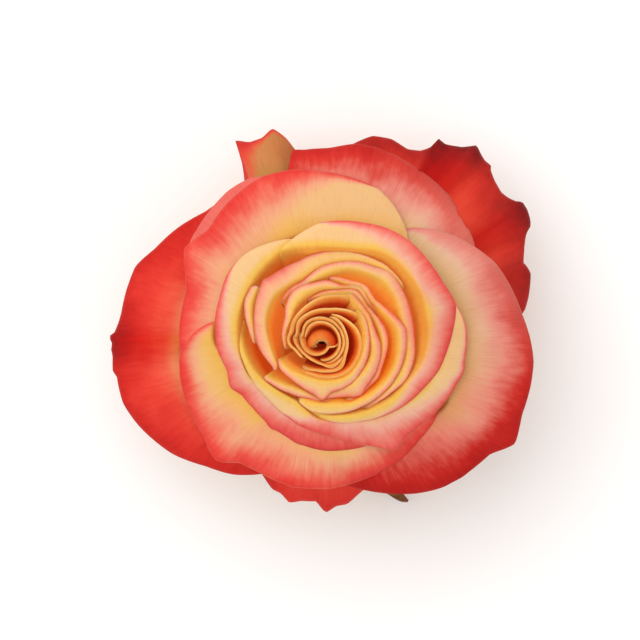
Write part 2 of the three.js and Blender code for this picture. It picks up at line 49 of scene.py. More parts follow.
FARTHEST_SEEN = 20

camera_data = bpy.data.cameras.new("camera")
camera_data.sensor_width = SENSOR_WIDTH
camera_data.lens = SENSOR_WIDTH * (CAMERA_HEIGHT - RIM_HEIGHT) / PICTURE_WIDTH
camera_data.clip_end = FARTHEST_SEEN
camera = bpy.data.objects.new("camera", camera_data)
camera.location = (*PICTURE_CENTRE, CAMERA_HEIGHT)
bpy.context.scene.collection.objects.link(camera)
bpy.context.scene.camera = camera

# The light is one large soft window above the upper left and a pale room all round. The window
# is turned to face the middle of the bloom.
WINDOW_ENERGY = 7
WINDOW_SIZE = 1.2
WINDOW_PLACE = (-0.35, 0.35, 1.1)
ROOM_COLOUR = (1, 0.985, 0.97, 1)
ROOM_STRENGTH = 0.86

bpy.context.scene.view_settings.view_transform = "Standard"
window_data = bpy.data.lights.new("window", "AREA")
window_data.energy = WINDOW_ENERGY
window_data.size = WINDOW_SIZE
window = bpy.data.objects.new("window", window_data)
window.location = WINDOW_PLACE
aside, ahead, above = WINDOW_PLACE
window.rotation_euler = (-math.atan2(ahead, above),
                         math.atan2(aside, math.hypot(ahead, above)), 0)
bpy.context.scene.collection.objects.link(window)
room = bpy.data.worlds.new("room")
room.use_nodes = True
room_air = room.node_tree.nodes["Background"].inputs
room_air["Color"].default_value = ROOM_COLOUR
room_air["Strength"].default_value = ROOM_STRENGTH
bpy.context.scene.world = room

# The surface under the head is a plain white sheet. It lies a hair below the cut stem, so that
# the two never share one plane.
FLOOR_HALF = 3.0
FLOOR_DROP = 0.0003
FLOOR_COLOUR = (0.97, 0.97, 0.97, 1)
FLOOR_ROUGHNESS = 0.9

floor_mesh = bpy.data.meshes.new("floor")
floor_corners = [(-1, -1), (1, -1), (1, 1), (-1, 1)]
floor_mesh.from_pydata([(x * FLOOR_HALF, y * FLOOR_HALF, -FLOOR_DROP) for x, y in floor_corners],
                       [], [(0, 1, 2, 3)])
floor = bpy.data.objects.new("floor", floor_mesh)
bpy.context.scene.collection.objects.link(floor)
floor_material = bpy.data.materials.new("white_sheet")
floor_material.use_nodes = True
floor_shader = floor_material.node_tree.nodes["Principled BSDF"]
floor_shader.inputs["Base Color"].default_value = FLOOR_COLOUR
floor_shader.inputs["Roughness"].default_value = FLOOR_ROUGHNESS
floor_mesh.materials.append(floor_material)

# Heart petals: the ten small petals that stand wound into a tight spiral in the middle, soft
# and thin as silk. Like all the petals they grow from the cone on top of the hip, lean on the
# petals nearer the heart and fold outward at the top, each outside the ones laid before it.
MM = 0.001
SEAT_RADIUS = 9.6
SEAT_HEIGHT = 13
SEAT_CONE = 14
SEAT_CLEARANCE = 0.65
INNER_FOOT = 0.9
FOOT_PITCH = 0.23
FOOT_LEAN = 0.6
FOOT_RISE = 0.5
BELLY_RANKS = [0, 1.1, 10.7, 22, 27, 30.2, 31.7, 35.1]
BELLY_RADII = [2.6, 2.8, 5.4, 11.5, 15.5, 19.5, 27.0, 30.4]
INNER_BELLY_HEIGHT = 34
BELLY_FALL = 0.25
CLAW_SHARE = 0.2
FLANK_SHARE = 0.35
STEEP_SHARE = 0.45
FLARE_SHARE = 0.4
FLARE_LIMITS = (0.4, 2.6)
RIDGE_ROUNDING = 0.3
RIDGE_SLOPE = 0.35
LIP_CURL = 1.7
LAYER = 0.6
NARROW_LIP = 1.2
LEAST_LIP = 0.3
DROP_STATIONS = 1.6
END_MARGIN = 2
SHARES = [0, 1, 0.5, 0.25, 0.75, 0.5]

# Each petal is given, from the heart outward, by its upper edge seen from above, anticlockwise:
# angle in degrees, distance of the edge from the axis and width of the lip, in millimetres.
# Its rank says how far out it stands, its ridge how high, and its drops how far its ends sink.
# Round the axis, blush widens the coloured margin and fade pales it; painted_shade_and_tone
# darkens the petal with painted shade and some deeper tone of its own; painted_wall_shade is
# painted shade on the shady part of its wall, away from the window; and waves lift its lip.
HEART_PETALS = {
    "heart_petal_10": {"rank": 0, "ridge": 54.6, "drops": (0.4, 0.4), "belly": 2.9,
        "hood": -4.4, "slope": 0, "steep": 0.75, "aside": (-0.1, -0.5),
        "edge": [(-15, 1.9, 0.15), (10, 1.4, 0.15), (35, 0.65, 0.15), (65, 0.45, 0.15),
        (90, 0.4, 0.15), (120, 0.45, 0.15), (150, 0.65, 0.15), (175, 1.4, 0.15),
        (195, 1.9, 0.15)]},
    "heart_petal_09": {"rank": 1.1, "ridge": 55, "drops": (0.9, 0.6), "belly": 0.9,
        "edge": [(168, 5.6, 0.25), (188, 5.3, 0.35), (208, 4.9, 0.35), (226, 4.5, 0.35),
        (244, 4, 0.35), (262, 3.5, 0.35), (284, 3, 0.35), (308, 2.5, 0.3), (334, 1.9, 0.2)]},
    "heart_petal_08": {"rank": 2.2, "ridge": 55.2, "drops": (0.9, 0.9),
        "edge": [(276, 5, 0.25), (300, 5, 0.3), (330, 4.9, 0.3), (357, 4.7, 0.3), (385, 4.6, 0.3),
        (412, 4.7, 0.3), (440, 4.9, 0.3), (465, 5.1, 0.3), (490, 5.1, 0.3), (515, 4.4, 0.25)]},
    "heart_petal_07": {"rank": 3.3, "ridge": 55.6, "drops": (0.9, 0.9),
        "edge": [(34, 5, 0.25), (50, 5.3, 0.3), (75, 5.7, 0.35), (100, 5.8, 0.35),
        (125, 5.9, 0.4), (148, 5.6, 0.4), (163, 5, 0.3)]},
    "heart_petal_06": {"rank": 4.4, "ridge": 56, "drops": (0.9, 0.9),
        "edge": [(284, 5.1, 0.3), (305, 5.5, 0.3), (325, 5.5, 0.3), (345, 5.3, 0.3),
        (365, 5, 0.3), (389, 4.9, 0.25)]},
    "heart_petal_05": {"rank": 5.6, "ridge": 56.4, "drops": (0.9, 0.9),
        "edge": [(171, 7.1, 0.3), (182, 6.7, 0.35), (200, 6.1, 0.35), (220, 5.5, 0.35),
        (245, 5.4, 0.35), (270, 5.8, 0.35), (292, 6.2, 0.3), (315, 6.3, 0.3)]},
    "heart_petal_04": {"rank": 6.8, "ridge": 56.6, "drops": (2.2, 1.2), "middle": 300,
        "edge": [(238, 8.2, 0.25), (247, 7.9, 0.3), (258, 7.6, 0.4), (280, 7.1, 0.5),
        (305, 7, 0.6), (330, 6.9, 0.6), (352, 6.6, 0.7), (372, 6.4, 0.9), (390, 6.4, 1.1),
        (408, 6.3, 0.8), (424, 5.7, 0.3)]},
    "heart_petal_03": {"rank": 8.2, "ridge": 57.4, "drops": (2.2, 1.2), "middle": 362,
        "edge": [(240, 8.6, 0.25), (250, 8.8, 0.3), (264, 9.1, 0.3), (285, 9.5, 0.35),
        (310, 10.2, 0.35), (335, 10.1, 0.35), (360, 9.9, 0.35), (380, 9.2, 0.3), (402, 8.1, 0.3),
        (422, 7.2, 0.3)]},
    "heart_petal_02": {"rank": 9.3, "ridge": 57, "drops": (0.9, 0.9),
        "edge": [(34, 11.4, 0.3), (48, 10.3, 0.3), (62, 9.2, 0.3), (78, 8.3, 0.35), (98, 8, 0.35),
        (120, 7.9, 0.4), (140, 7.9, 0.4), (152, 7.3, 0.4), (165, 6.4, 0.3)]},
    "heart_petal_01": {"rank": 10.7, "ridge": 57.8, "drops": (0.9, 0.9),
        "edge": [(58, 13.2, 0.3), (75, 12, 0.4), (90, 11.1, 0.5), (108, 10, 0.5), (126, 9.3, 0.5),
        (150, 8.8, 0.5), (165, 8.2, 0.5), (180, 7.7, 0.5), (195, 7.1, 0.4), (213, 6.1, 0.3)]},
}
HEART_GROUP = {
    "margin": 0.4, "round": (1.5, 1.5), "roll": 0, "droop": 0.3,
    # painted_wall_shade: painted shade on the heart walls that face away from the window.
    "painted_wall_shade": [(0, 0.8), (45, 0.6), (80, 0.25), (120, 0.1), (180, 0.05), (215, 0.3), (260, 0.7),
              (300, 1), (360, 0.8)]}

laid_petals = []


def seat_height_at(radius):
    return SEAT_HEIGHT + SEAT_CONE * (1 - min(1, radius / SEAT_RADIUS))


def bezier(a, b, c, d, t):
    s = 1 - t
    return s * s * s * a + 3 * s * s * t * b + 3 * s * t * t * c + t * t * t * d


def lip_height(column, radius):
    along = np.maximum(0, radius - column["fold"]) / column["lip"]
    return column["height"] - column["droop"] * column["lip"] * along ** LIP_CURL


def between(a, b, share):
    return {key: a[key] + (b[key] - a[key]) * share for key in a}


def column_at(columns, angle):
    """The column of a laid petal at an angle, or None where the petal doesn't reach."""
    first, last = columns[0]["angle"], columns[-1]["angle"]
    for turn in (-720, -360, 0, 360, 720):
        at = angle + turn
        if first - END_MARGIN <= at <= last + END_MARGIN:
            held = min(last, max(first, at))
            k = max(1, next(i for i, c in enumerate(columns) if c["angle"] >= held))
            a, b = columns[k - 1], columns[k]
            return between(a, b, (held - a["angle"]) / (b["angle"] - a["angle"]))
    return None


def mend(columns, key, lack_at):
    """Looks at places along the columns and adds what each lacks to the columns beside it."""
    for share in SHARES:
        for a, b in zip(columns, columns[1:]):
            lack = lack_at(between(a, b, share)) / ((1 - share) ** 2 + share ** 2)
            a[key] += lack * (1 - share)
            b[key] += lack * share


def free_columns(petal):
    """The petal's fold, lip and height at each station, as if it stood alone."""
    last = len(petal["edge"]) - 1
    columns = []
    for i, (angle, edge, lip) in enumerate(petal["edge"]):
        start_fall = petal["drops"][0] * max(0, 1 - i / DROP_STATIONS) ** 2
        end_fall = petal["drops"][1] * max(0, 1 - (last - i) / DROP_STATIONS) ** 2
        columns.append({"angle": angle, "edge": edge, "lip": lip, "fold": edge - lip,
                        "droop": petal["droop"],
                        "height": petal["ridge"] - start_fall - end_fall})
    return columns


def fold_lack(nearer, at):
    """How much farther out a fold has to lie to clear the petals nearer the heart."""
    ends = [n["edge"] if n["lip"] < NARROW_LIP else n["fold"] for n in nearer]
    return max([0] + [end + LAYER - at["fold"] for end in ends])


def lip_lack(near, at):
    """How much a lip has to sink, as a negative height, to pass under the lip of another."""
    reach = min(near["edge"] + LAYER, at["edge"])
    lack = 0
    if reach > at["fold"]:
        for radius in np.linspace(at["fold"], reach, 5):
            room = lip_height(near, min(radius, near["edge"])) - LAYER - lip_height(at, radius)
            lack = min(lack, room)
    return lack


def lay_petal(petal):
    """Lays a petal round the ones nearer the heart: its fold outside theirs, its lip under."""
    columns = free_columns(petal)

    def nearer(at):
        return [c for c in (column_at(other, at["angle"]) for other in laid_petals) if c]

    mend(columns, "fold", lambda at: fold_lack(nearer(at), at))
    for column in columns:
        column["edge"] = max(column["edge"], column["fold"] + LEAST_LIP)
        column["lip"] = column["edge"] - column["fold"]
    mend(columns, "height", lambda at: min([0] + [lip_lack(n, at) for n in nearer(at)]))
    laid_petals.append(columns)
    return columns


# How far out the walls and the lips laid so far reach, every 2 degrees and every millimetre up.
REACH_STEP = 2
REACH_LEVELS = 66
wall_reach = np.zeros((360 // REACH_STEP, REACH_LEVELS))
lip_reach = np.zeros((360 // REACH_STEP, REACH_LEVELS))


def reach_at(reach, angle, height):
    """The reach at any angle and height, evened out between its four nearest entries."""
    across = (angle / REACH_STEP) % len(reach)
    up = np.clip(height, 0, REACH_LEVELS - 2)
    i, j = across.astype(int) % len(reach), up.astype(int)
    p, q, n = across - np.floor(across), up - j, (i + 1) % len(reach)
    return ((reach[i, j] * (1 - p) + reach[n, j] * p) * (1 - q)
            + (reach[i, j + 1] * (1 - p) + reach[n, j + 1] * p) * q)


def softened(field, width, axis):
    """Evens a field out along one axis; width counts points."""
    if width < 0.5:
        return field
    half = int(math.ceil(2.5 * width))
    weights = np.exp(-0.5 * (np.arange(-half, half + 1) / width) ** 2)
    weights /= weights.sum()
    pad = [(0, 0)] * field.ndim
    pad[axis] = (half, half)
    padded = np.pad(field, pad, mode="edge")
    return sum(w * np.take(padded, np.arange(k, k + field.shape[axis]), axis=axis)
               for k, w in enumerate(weights))


def smooth_between(xs, ys, x):
    """A soft curve through given points that never runs past them."""
    h = np.diff(xs)
    slope = np.diff(ys) / h
    tangent = np.zeros(len(xs))
    same = slope[:-1] * slope[1:] > 0
    w1, w2 = 2 * h[1:] + h[:-1], h[1:] + 2 * h[:-1]
    both = (w1 + w2) / (w1 / np.where(same, slope[:-1], 1) + w2 / np.where(same, slope[1:], 1))
    tangent[1:-1] = np.where(same, both, 0)
    tangent[0], tangent[-1] = slope[0], slope[-1]
    k = np.clip(np.searchsorted(xs, x, side="right") - 1, 0, len(xs) - 2)
    t = (x - xs[k]) / h[k]
    return ((2 * t**3 - 3 * t**2 + 1) * ys[k] + (t**3 - 2 * t**2 + t) * h[k] * tangent[k]
            + (3 * t**2 - 2 * t**3) * ys[k + 1] + (t**3 - t**2) * h[k] * tangent[k + 1])


# A petal's points stand in columns round the axis and rows up the petal: row 0 is the foot,
# 1 the belly, 2 the fold and 3 the edge. Sizes are in millimetres.
FACE_SIZE = 0.7
COLUMN_LIMITS = (34, 190)
WALL_ROWS = 30
ROW_CROWDING = 0.9
LIP_ROW_LIMITS = (5, 26)
END_ROW = 1.2
END_ROUNDING = 1.3
RIM_ROLL_WIDTH = 1.4
WALL_GAP = 0.42
PUSH_SOFTNESS = (1.5, 1.0)
FOLD_SOFTNESS = 1.6
EDGE_SOFTNESS = 0.22
EDGE_STRAIGHTNESS = 0.7


def column_values(laid, angles):
    """The laid columns at many angles: folds run softly on, edges keep their small points."""
    stations = np.array([c["angle"] for c in laid], float)
    held = np.clip(angles, stations[0], stations[-1])
    values = {key: smooth_between(stations, np.array([c[key] for c in laid]), held)
              for key in ("fold", "edge", "height")}
    straight = np.interp(held, stations, [c["edge"] for c in laid])
    step = math.radians(angles[1] - angles[0]) * max(1.5, values["edge"].mean())
    for key in ("fold", "height"):
        values[key] = softened(values[key], FOLD_SOFTNESS / step, 0)
    edge = (1 - EDGE_STRAIGHTNESS) * values["edge"] + EDGE_STRAIGHTNESS * straight
    values["edge"] = np.maximum(softened(edge, EDGE_SOFTNESS / step, 0),
                                values["fold"] + LEAST_LIP / 2)
    values["lip"] = values["edge"] - values["fold"]
    values["droop"] = laid[0]["droop"]
    return values


def petal_ends(petal, laid):
    """A petal runs on past its seen edge at both ends, where its sides round off downward."""
    first, last = laid[0], laid[-1]
    extra = [math.degrees(size / max(4, c["edge"]))
             for size, c in zip(petal["round"], (first, last))]
    return first["angle"] - extra[0], last["angle"] + extra[1]


def free_profile(petal, column, v):
    """Radius and height of every point while no other petal pushes on this one."""
    foot = INNER_FOOT + FOOT_PITCH * petal["rank"]
    low_end = seat_height_at(foot) + SEAT_CLEARANCE
    belly = petal.get("belly", float(np.interp(petal["rank"], BELLY_RANKS, BELLY_RADII)))
    belly_height = INNER_BELLY_HEIGHT - BELLY_FALL * petal["rank"]
    fold, lip, top = (column[key][:, None] for key in ("fold", "lip", "height"))
    flare = petal.get("hood", np.clip(FLARE_SHARE * (fold - belly), *FLARE_LIMITS))
    below = RIDGE_ROUNDING + RIDGE_SLOPE * petal.get("slope", 1) * np.abs(flare)
    steep = belly_height + petal.get("steep", STEEP_SHARE) * (top - belly_height)
    low, high, out = np.minimum(1, v), np.clip(v - 1, 0, 1), np.maximum(0, v - 2)
    low_radius = bezier(foot, foot + FOOT_LEAN * (belly - foot), belly, belly, low)
    low_height = bezier(low_end, low_end + FOOT_RISE, (low_end + belly_height) / 2,
                        belly_height, low)
    high_radius = bezier(belly, belly + FLANK_SHARE * (fold - belly), fold - flare, fold, high)
    high_height = bezier(belly_height, steep, top - below, top, high)
    radius = np.where(v <= 1, low_radius, high_radius) + lip * out
    height = np.where(v <= 1, low_height, high_height)
    return radius, height - column["droop"] * lip * out ** LIP_CURL


def pushed_out(radius, height, angle, fold, v):
    """Holds a wall outside the walls laid before it, and its lip goes out along with it."""
    walls, lips = (reach_at(reach, angle, height) for reach in (wall_reach, lip_reach))
    inside = np.where(lips < fold + LEAST_LIP, np.maximum(walls, lips), walls)
    held = np.maximum(radius, np.where(v < 2, inside + WALL_GAP, 0))
    push = np.maximum.accumulate(held, axis=1) - radius
    carried = np.where(v < 2, push, 0)[:, WALL_ROWS - 1, None]
    push = np.where(v < 2, push, np.maximum(push, carried))
    return radius + softened(softened(push, PUSH_SOFTNESS[0], 0), PUSH_SOFTNESS[1], 1)


def petal_profile(petal, laid, angles, v):
    """Place of every petal point: narrow at the claw, full wide from the belly up."""
    column = column_values(laid, angles)
    radius, height = free_profile(petal, column, v)
    middle = petal.get("middle", (laid[0]["angle"] + laid[-1]["angle"]) / 2)
    low, high, out = np.minimum(1, v), np.clip(v - 1, 0, 1), np.maximum(0, v - 2)
    spread = CLAW_SHARE + (1 - CLAW_SHARE) * low * low * (3 - 2 * low)
    angle = middle + (angles[:, None] - middle) * spread
    height = height + around(petal, "waves", angles, 0) * out
    if "hood" not in petal:
        radius = pushed_out(radius, height, angle, column["fold"][:, None], v)
    turn = np.radians(angle)
    aside = petal.get("aside", (0, 0))
    return np.stack([radius * np.cos(turn) + aside[0] * high,
                     radius * np.sin(turn) + aside[1] * high, height], axis=2)


def around(petal, key, angles, otherwise):
    """A value that changes round the petal, for each column of its points."""
    return np.interp(angles, *zip(*petal.get(key, [(0, otherwise)])))[:, None]


def remember_reach(petal, laid):
    """Adds a laid petal to the reach, so that the next walls stay outside it."""
    angles = np.arange(laid[0]["angle"], laid[-1]["angle"], 1.0)
    rows = np.broadcast_to(np.linspace(0.6, 3, 161)[None, :], (len(angles), 161))
    x, y, height = np.moveaxis(petal_profile(petal, laid, angles, rows), 2, 0)
    i = np.round(np.degrees(np.arctan2(y, x)) / REACH_STEP).astype(int) % len(wall_reach)
    for reach, part in ((wall_reach, rows <= 2), (lip_reach, rows >= 2)):
        for level in (np.floor(height), np.ceil(height)):
            j = np.clip(level, 0, REACH_LEVELS - 1).astype(int)
            np.maximum.at(reach, (i[part], j[part]), np.hypot(x, y)[part])


def petal_rows(laid, angles):
    """The row of every point, and how far each column is from the rounded ends, 0 to 1."""
    lip_rows = int(np.clip(max(c["lip"] for c in laid) / FACE_SIZE, *LIP_ROW_LIMITS))
    rows = np.concatenate([
        2 * np.linspace(0, 1, WALL_ROWS, endpoint=False) ** ROW_CROWDING,
        np.linspace(2, 3, lip_rows + 1)])
    first, last = angles[0], angles[-1]
    ends = np.clip(np.minimum((angles - first) / (laid[0]["angle"] - first),
                              (last - angles) / (last - laid[-1]["angle"])) / END_ROUNDING, 0, 1)
    top_row = END_ROW + (3 - END_ROW) * np.sin(0.5 * math.pi * ends[:, None]) ** 0.9
    return np.where(rows <= 1, rows, 1 + (rows - 1) * (top_row - 1) / 2), ends


def petal_distances(points, v):
    """How far every point lies up from the foot, below the edge, past the fold and across."""
    steps = np.linalg.norm(np.diff(points, axis=1), axis=2)
    climb = np.concatenate([np.zeros((len(v), 1)), np.cumsum(steps, axis=1)], axis=1)
    at_fold = np.array([np.interp(2, row, up) for row, up in zip(v, climb)])
    along = np.linalg.norm(np.diff(points[:, -1, :2], axis=0), axis=1)
    across = np.concatenate([[0], np.cumsum(along)])
    return climb, climb[:, -1:] - climb, climb - at_fold[:, None], across[:, None]


def petal_fields(petal, angles, v, ends, to_edge, from_fold, across):
    """What the relief and the colours read at every point of a petal."""
    side = np.minimum(across, across[-1] - across)
    low_on_the_wall = 2 * np.maximum(0, -0.5 - from_fold)
    margin = petal["margin"] * np.clip(ends, 0.12, 1)[:, None] * around(petal, "blush", angles, 1)
    return {
        "edge_mm": np.minimum(to_edge, side * 1.2 + 0.3 * np.maximum(0, to_edge - 2)
                              + low_on_the_wall),
        "fold_mm": from_fold,
        "lip_share": np.clip((v - 1.6) / 1.4, 0, 1),
        "margin_mm": np.maximum(0.01, margin),
        "across_mm": across,
        "painted_shade_and_tone": around(petal, "painted_shade_and_tone", angles, 0),
        "fade": around(petal, "fade", angles, 0),
        "painted_wall_shade": around(petal, "painted_wall_shade", angles % 360, 0),
    }


def grid_mesh(name, points, fields, turned=False):
    """A sheet through a grid of points, with a value of each field at each point."""
    shape, n = points.shape[:2], points.shape[1]
    corners = [i * n + j for i in range(shape[0] - 1) for j in range(n - 1)]
    faces = [(a, a + n, a + n + 1, a + 1) if turned else (a, a + 1, a + n + 1, a + n)
             for a in corners]
    mesh = bpy.data.meshes.new(name)
    mesh.from_pydata((points.reshape(-1, 3) * MM).tolist(), [], faces)
    for key, field in fields.items():
        values = np.ascontiguousarray(np.broadcast_to(field, shape), float)
        mesh.attributes.new(key, "FLOAT", "POINT").data.foreach_set("value", values.reshape(-1))
    mesh.polygons.foreach_set("use_smooth", [True] * len(mesh.polygons))
    return mesh


def lay_vein_map(mesh, across, climb):
    """Unrolls a petal flat, in centimetres, for the veins that run from its foot to its edge."""
    flat = np.stack([np.broadcast_to(across, climb.shape), climb], axis=2) * 0.1
    corners = np.zeros(len(mesh.loops), int)
    mesh.loops.foreach_get("vertex_index", corners)
    vein_map = mesh.uv_layers.new(name="veins")
    vein_map.data.foreach_set("uv", flat.reshape(-1, 2)[corners].reshape(-1))


def petal_sheet(name, petal):
    """The petal as one curved sheet without thickness."""
    laid = lay_petal(petal)
    first, last = petal_ends(petal, laid)
    length = math.radians(last - first) * max(c["edge"] for c in laid)
    angles = np.linspace(first, last, int(np.clip(length / FACE_SIZE, *COLUMN_LIMITS)))
    v, ends = petal_rows(laid, angles)
    points = petal_profile(petal, laid, angles, v)
    climb, to_edge, from_fold, across = petal_distances(points, v)
    points[:, :, 2] -= petal["roll"] * np.clip(1 - to_edge / RIM_ROLL_WIDTH, 0, 1) ** 2
    remember_reach(petal, laid)
    mesh = grid_mesh(name, points, petal_fields(petal, angles, v, ends, to_edge, from_fold,
                                                across))
    lay_vein_map(mesh, across, climb)
    return mesh


def new_tree(name, kind, inputs, outputs):
    """An empty node group with the given named sockets."""
    tree = bpy.data.node_groups.new(name, kind)
    for label, socket_type, value in inputs:
        socket = tree.interface.new_socket(label, in_out="INPUT",
                                           socket_type="NodeSocket" + socket_type)
        if value is not None:
            socket.default_value = value
    for label, socket_type in outputs:
        tree.interface.new_socket(label, in_out="OUTPUT", socket_type="NodeSocket" + socket_type)
    return (tree, tree.nodes.new("NodeGroupInput").outputs,
            tree.nodes.new("NodeGroupOutput").inputs)


def add_node(tree, kind, links=(), **settings):
    """A node with its properties set and (socket, source or value) pairs joined to it."""
    node = tree.nodes.new(kind)
    for key, value in settings.items():
        setattr(node, key, value)
    for socket, source in links:
        if hasattr(source, "is_linked"):
            tree.links.new(source, node.inputs[socket])
        else:
            node.inputs[socket].default_value = source
    return node


def maths(tree, operation, a, b):
    return add_node(tree, "ShaderNodeMath", [(0, a), (1, b)], operation=operation).outputs[0]


def product(tree, a, b):
    return maths(tree, "MULTIPLY", a, b)


def vector_along(tree, label, value):
    return add_node(tree, "ShaderNodeCombineXYZ", [(label, value)]).outputs[0]


def petal_waves(tree, given, vector, kind, shift):
    """Soft waves of the given kind, as high and as long as the tree's inputs say."""
    size, height = kind
    noise = add_node(tree, "ShaderNodeTexNoise",
                     [("Vector", vector), ("W", maths(tree, "ADD", given["Seed"], shift)),
                      ("Scale", maths(tree, "DIVIDE", 1.0, given[size])), ("Detail", 1.0)],
                     noise_dimensions="4D").outputs[0]
    return product(tree, maths(tree, "SUBTRACT", noise, 0.5), given[height])


def petal_relief():
    """Dents a petal's wall softly, and ripples and pleats its lip more and more to the edge."""
    tree, given, result = new_tree(
        "petal_relief", "GeometryNodeTree",
        [("Geometry", "Geometry", None), ("Dent Depth", "Float", 0.0004),
         ("Dent Size", "Float", 0.016), ("Ripple Height", "Float", 0.001),
         ("Ripple Size", "Float", 0.014), ("Pleat Height", "Float", 0.0),
         ("Pleat Size", "Float", 6.0), ("Seed", "Float", 3.0), ("Material", "Material", None)],
        [("Geometry", "Geometry")])

    def named(name):
        return add_node(tree, "GeometryNodeInputNamedAttribute", [("Name", name)],
                        data_type="FLOAT").outputs[0]

    place = add_node(tree, "GeometryNodeInputPosition").outputs[0]
    normal = add_node(tree, "GeometryNodeInputNormal").outputs[0]
    across = vector_along(tree, "X", named("across_mm"))
    dents = petal_waves(tree, given, place, ("Dent Size", "Dent Depth"), 0.0)
    ripples = petal_waves(tree, given, place, ("Ripple Size", "Ripple Height"), 9.0)
    pleats = petal_waves(tree, given, across, ("Pleat Size", "Pleat Height"), 5.0)
    lifted = product(tree, maths(tree, "ADD", ripples, pleats), named("lip_share"))
    dent = add_node(tree, "ShaderNodeVectorMath", [(0, normal), (3, dents)], operation="SCALE")
    moves = add_node(tree, "ShaderNodeVectorMath",
                     [(0, dent.outputs[0]), (1, vector_along(tree, "Z", lifted))])
    moved = add_node(tree, "GeometryNodeSetPosition",
                     [("Geometry", given["Geometry"]), ("Offset", moves.outputs[0])])
    finish_tree(tree, moved, given, result)
    return tree


def finish_tree(tree, last_node, given, result):
    """Ends a geometry tree: what it placed becomes real and gets its material."""
    real = add_node(tree, "GeometryNodeRealizeInstances", [("Geometry", last_node.outputs[0])])
    done = add_node(tree, "GeometryNodeSetMaterial", [("Geometry", real.outputs[0]),
                    ("Material", given["Material"])])
    tree.links.new(done.outputs[0], result[0])


def noise(tree, vector, scale, detail):
    return add_node(tree, "ShaderNodeTexNoise", [("Vector", vector), ("Scale", scale),
                    ("Detail", detail)]).outputs[0]


def stretched(tree, vector, scale):
    return add_node(tree, "ShaderNodeMapping", [("Vector", vector), ("Scale", scale)]).outputs[0]


def attribute(tree, name):
    return add_node(tree, "ShaderNodeAttribute", attribute_name=name).outputs["Fac"]


def rise(tree, value, low, high, kind="SMOOTHSTEP"):
    """0 below low and 1 above high, with a step between; it falls where low is above high."""
    return add_node(tree, "ShaderNodeMapRange", [("Value", value), ("From Min", low),
                    ("From Max", high)], interpolation_type=kind).outputs[0]


def rough_between(tree, value, low, high):
    return add_node(tree, "ShaderNodeMapRange",
                    [("Value", value), ("To Min", low), ("To Max", high)]).outputs[0]


def blend(tree, share, first, second, kind="MIX"):
    return add_node(tree, "ShaderNodeMix", [("Factor", share), (6, first), (7, second)],
                    data_type="RGBA", blend_type=kind).outputs[2]


def deepened(tree, share, colour):
    """The colour laid over itself, which darkens it without making it grey."""
    return blend(tree, share, colour, colour, "MULTIPLY")


def petal_patterns(tree):
    """The uneven growth of a petal: streaks and veins along it, patches, clouds and grain."""
    vein_map = add_node(tree, "ShaderNodeUVMap", uv_map="veins").outputs[0]
    place = add_node(tree, "ShaderNodeTexCoord").outputs["Object"]

    def along_veins(width, length, detail):
        scale = (10 / width, 10 / length, 1.0)
        return noise(tree, stretched(tree, vein_map, scale), 1.0, detail)

    return {"streaks": along_veins(1.3, 6.0, 3.0), "veins": along_veins(0.45, 7.0, 2.0),
            "patches": noise(tree, place, 110.0, 4.0), "clouds": noise(tree, place, 45.0, 2.0),
            "grain": noise(tree, place, 2600.0, 2.0)}


def petal_zones(tree, given, patterns, fold):
    """Distances that the colours follow: in from the edge, out from the fold, down the wall."""
    streak, patch = (product(tree, maths(tree, "SUBTRACT", patterns[key], 0.5), given[label])
                     for key, label in (("streaks", "Streak"), ("patches", "Patch")))
    uneven = product(tree, maths(tree, "ADD", streak, patch), 2.0)
    away = maths(tree, "DIVIDE", attribute(tree, "edge_mm"), attribute(tree, "margin_mm"))
    inward = maths(tree, "ADD", away, uneven)
    outward = maths(tree, "ADD", maths(tree, "DIVIDE", fold, given["Fold Reach"]),
                    product(tree, uneven, 0.5))
    down = maths(tree, "DIVIDE", product(tree, fold, -1.0), given["Wall Reach"])
    return inward, outward, down


def zone_colours(tree, given, fold, inward, outward, down):
    """The colours of a petal, laid one over the other from the body to the deep wall; Wall and
    Deep, warmer and darker down the wall, are partly the petal's own warm base and partly painted
    shade.
    """
    colour = blend(tree, rise(tree, outward, 0.1, 1.0), given["Fold"], given["Body"])
    for label, low, high in (("Blush", 0.8, 1.9), ("Margin", 0.25, 1.15), ("Edge", -0.1, 0.5)):
        colour = blend(tree, rise(tree, inward, low, high), given[label], colour)
    faded = product(tree, rise(tree, inward, 1.4, 0.9), attribute(tree, "fade"))
    colour = blend(tree, faded, colour, given["Blush"])
    colour = blend(tree, rise(tree, fold, 0.4, -0.9), colour, given["Wall"])
    return blend(tree, rise(tree, down, 0.15, 1.0), colour, given["Deep"])


def shaded_colours(tree, given, patterns, down, colour):
    """Lays painted shade on the walls away from the window, flushes the streaks, draws the veins,
    clouds the whole and darkens it further with painted shade and deeper tone round the petal.
    """
    # Painted shade: the wall darkens with depth, more on the side away from the window.
    painted_wall_shade = product(tree, rise(tree, down, 0.02, 0.3), attribute(tree, "painted_wall_shade"))
    colour = deepened(tree, painted_wall_shade, colour)
    flush = product(tree, rise(tree, patterns["streaks"], 0.42, 0.75), given["Flush"])
    colour = blend(tree, flush, colour, given["Margin"])
    veins = product(tree, rise(tree, patterns["veins"], 0.45, 0.8), given["Vein"])
    colour = deepened(tree, veins, colour)
    clouds = product(tree, rise(tree, patterns["clouds"], 0.5, 0.75), 0.3)
    # The clouds are the petal's own uneven tone; painted_shade_and_tone adds painted shade, with
    # some deeper tone of its own.
    return deepened(tree, maths(tree, "ADD", clouds, attribute(tree, "painted_shade_and_tone")), colour)


# Wall and Deep hold partly the petals' own warmer base and partly painted shade deep in the
# flower.
ZONES = ("Edge", "Margin", "Blush", "Body", "Fold", "Wall", "Deep")


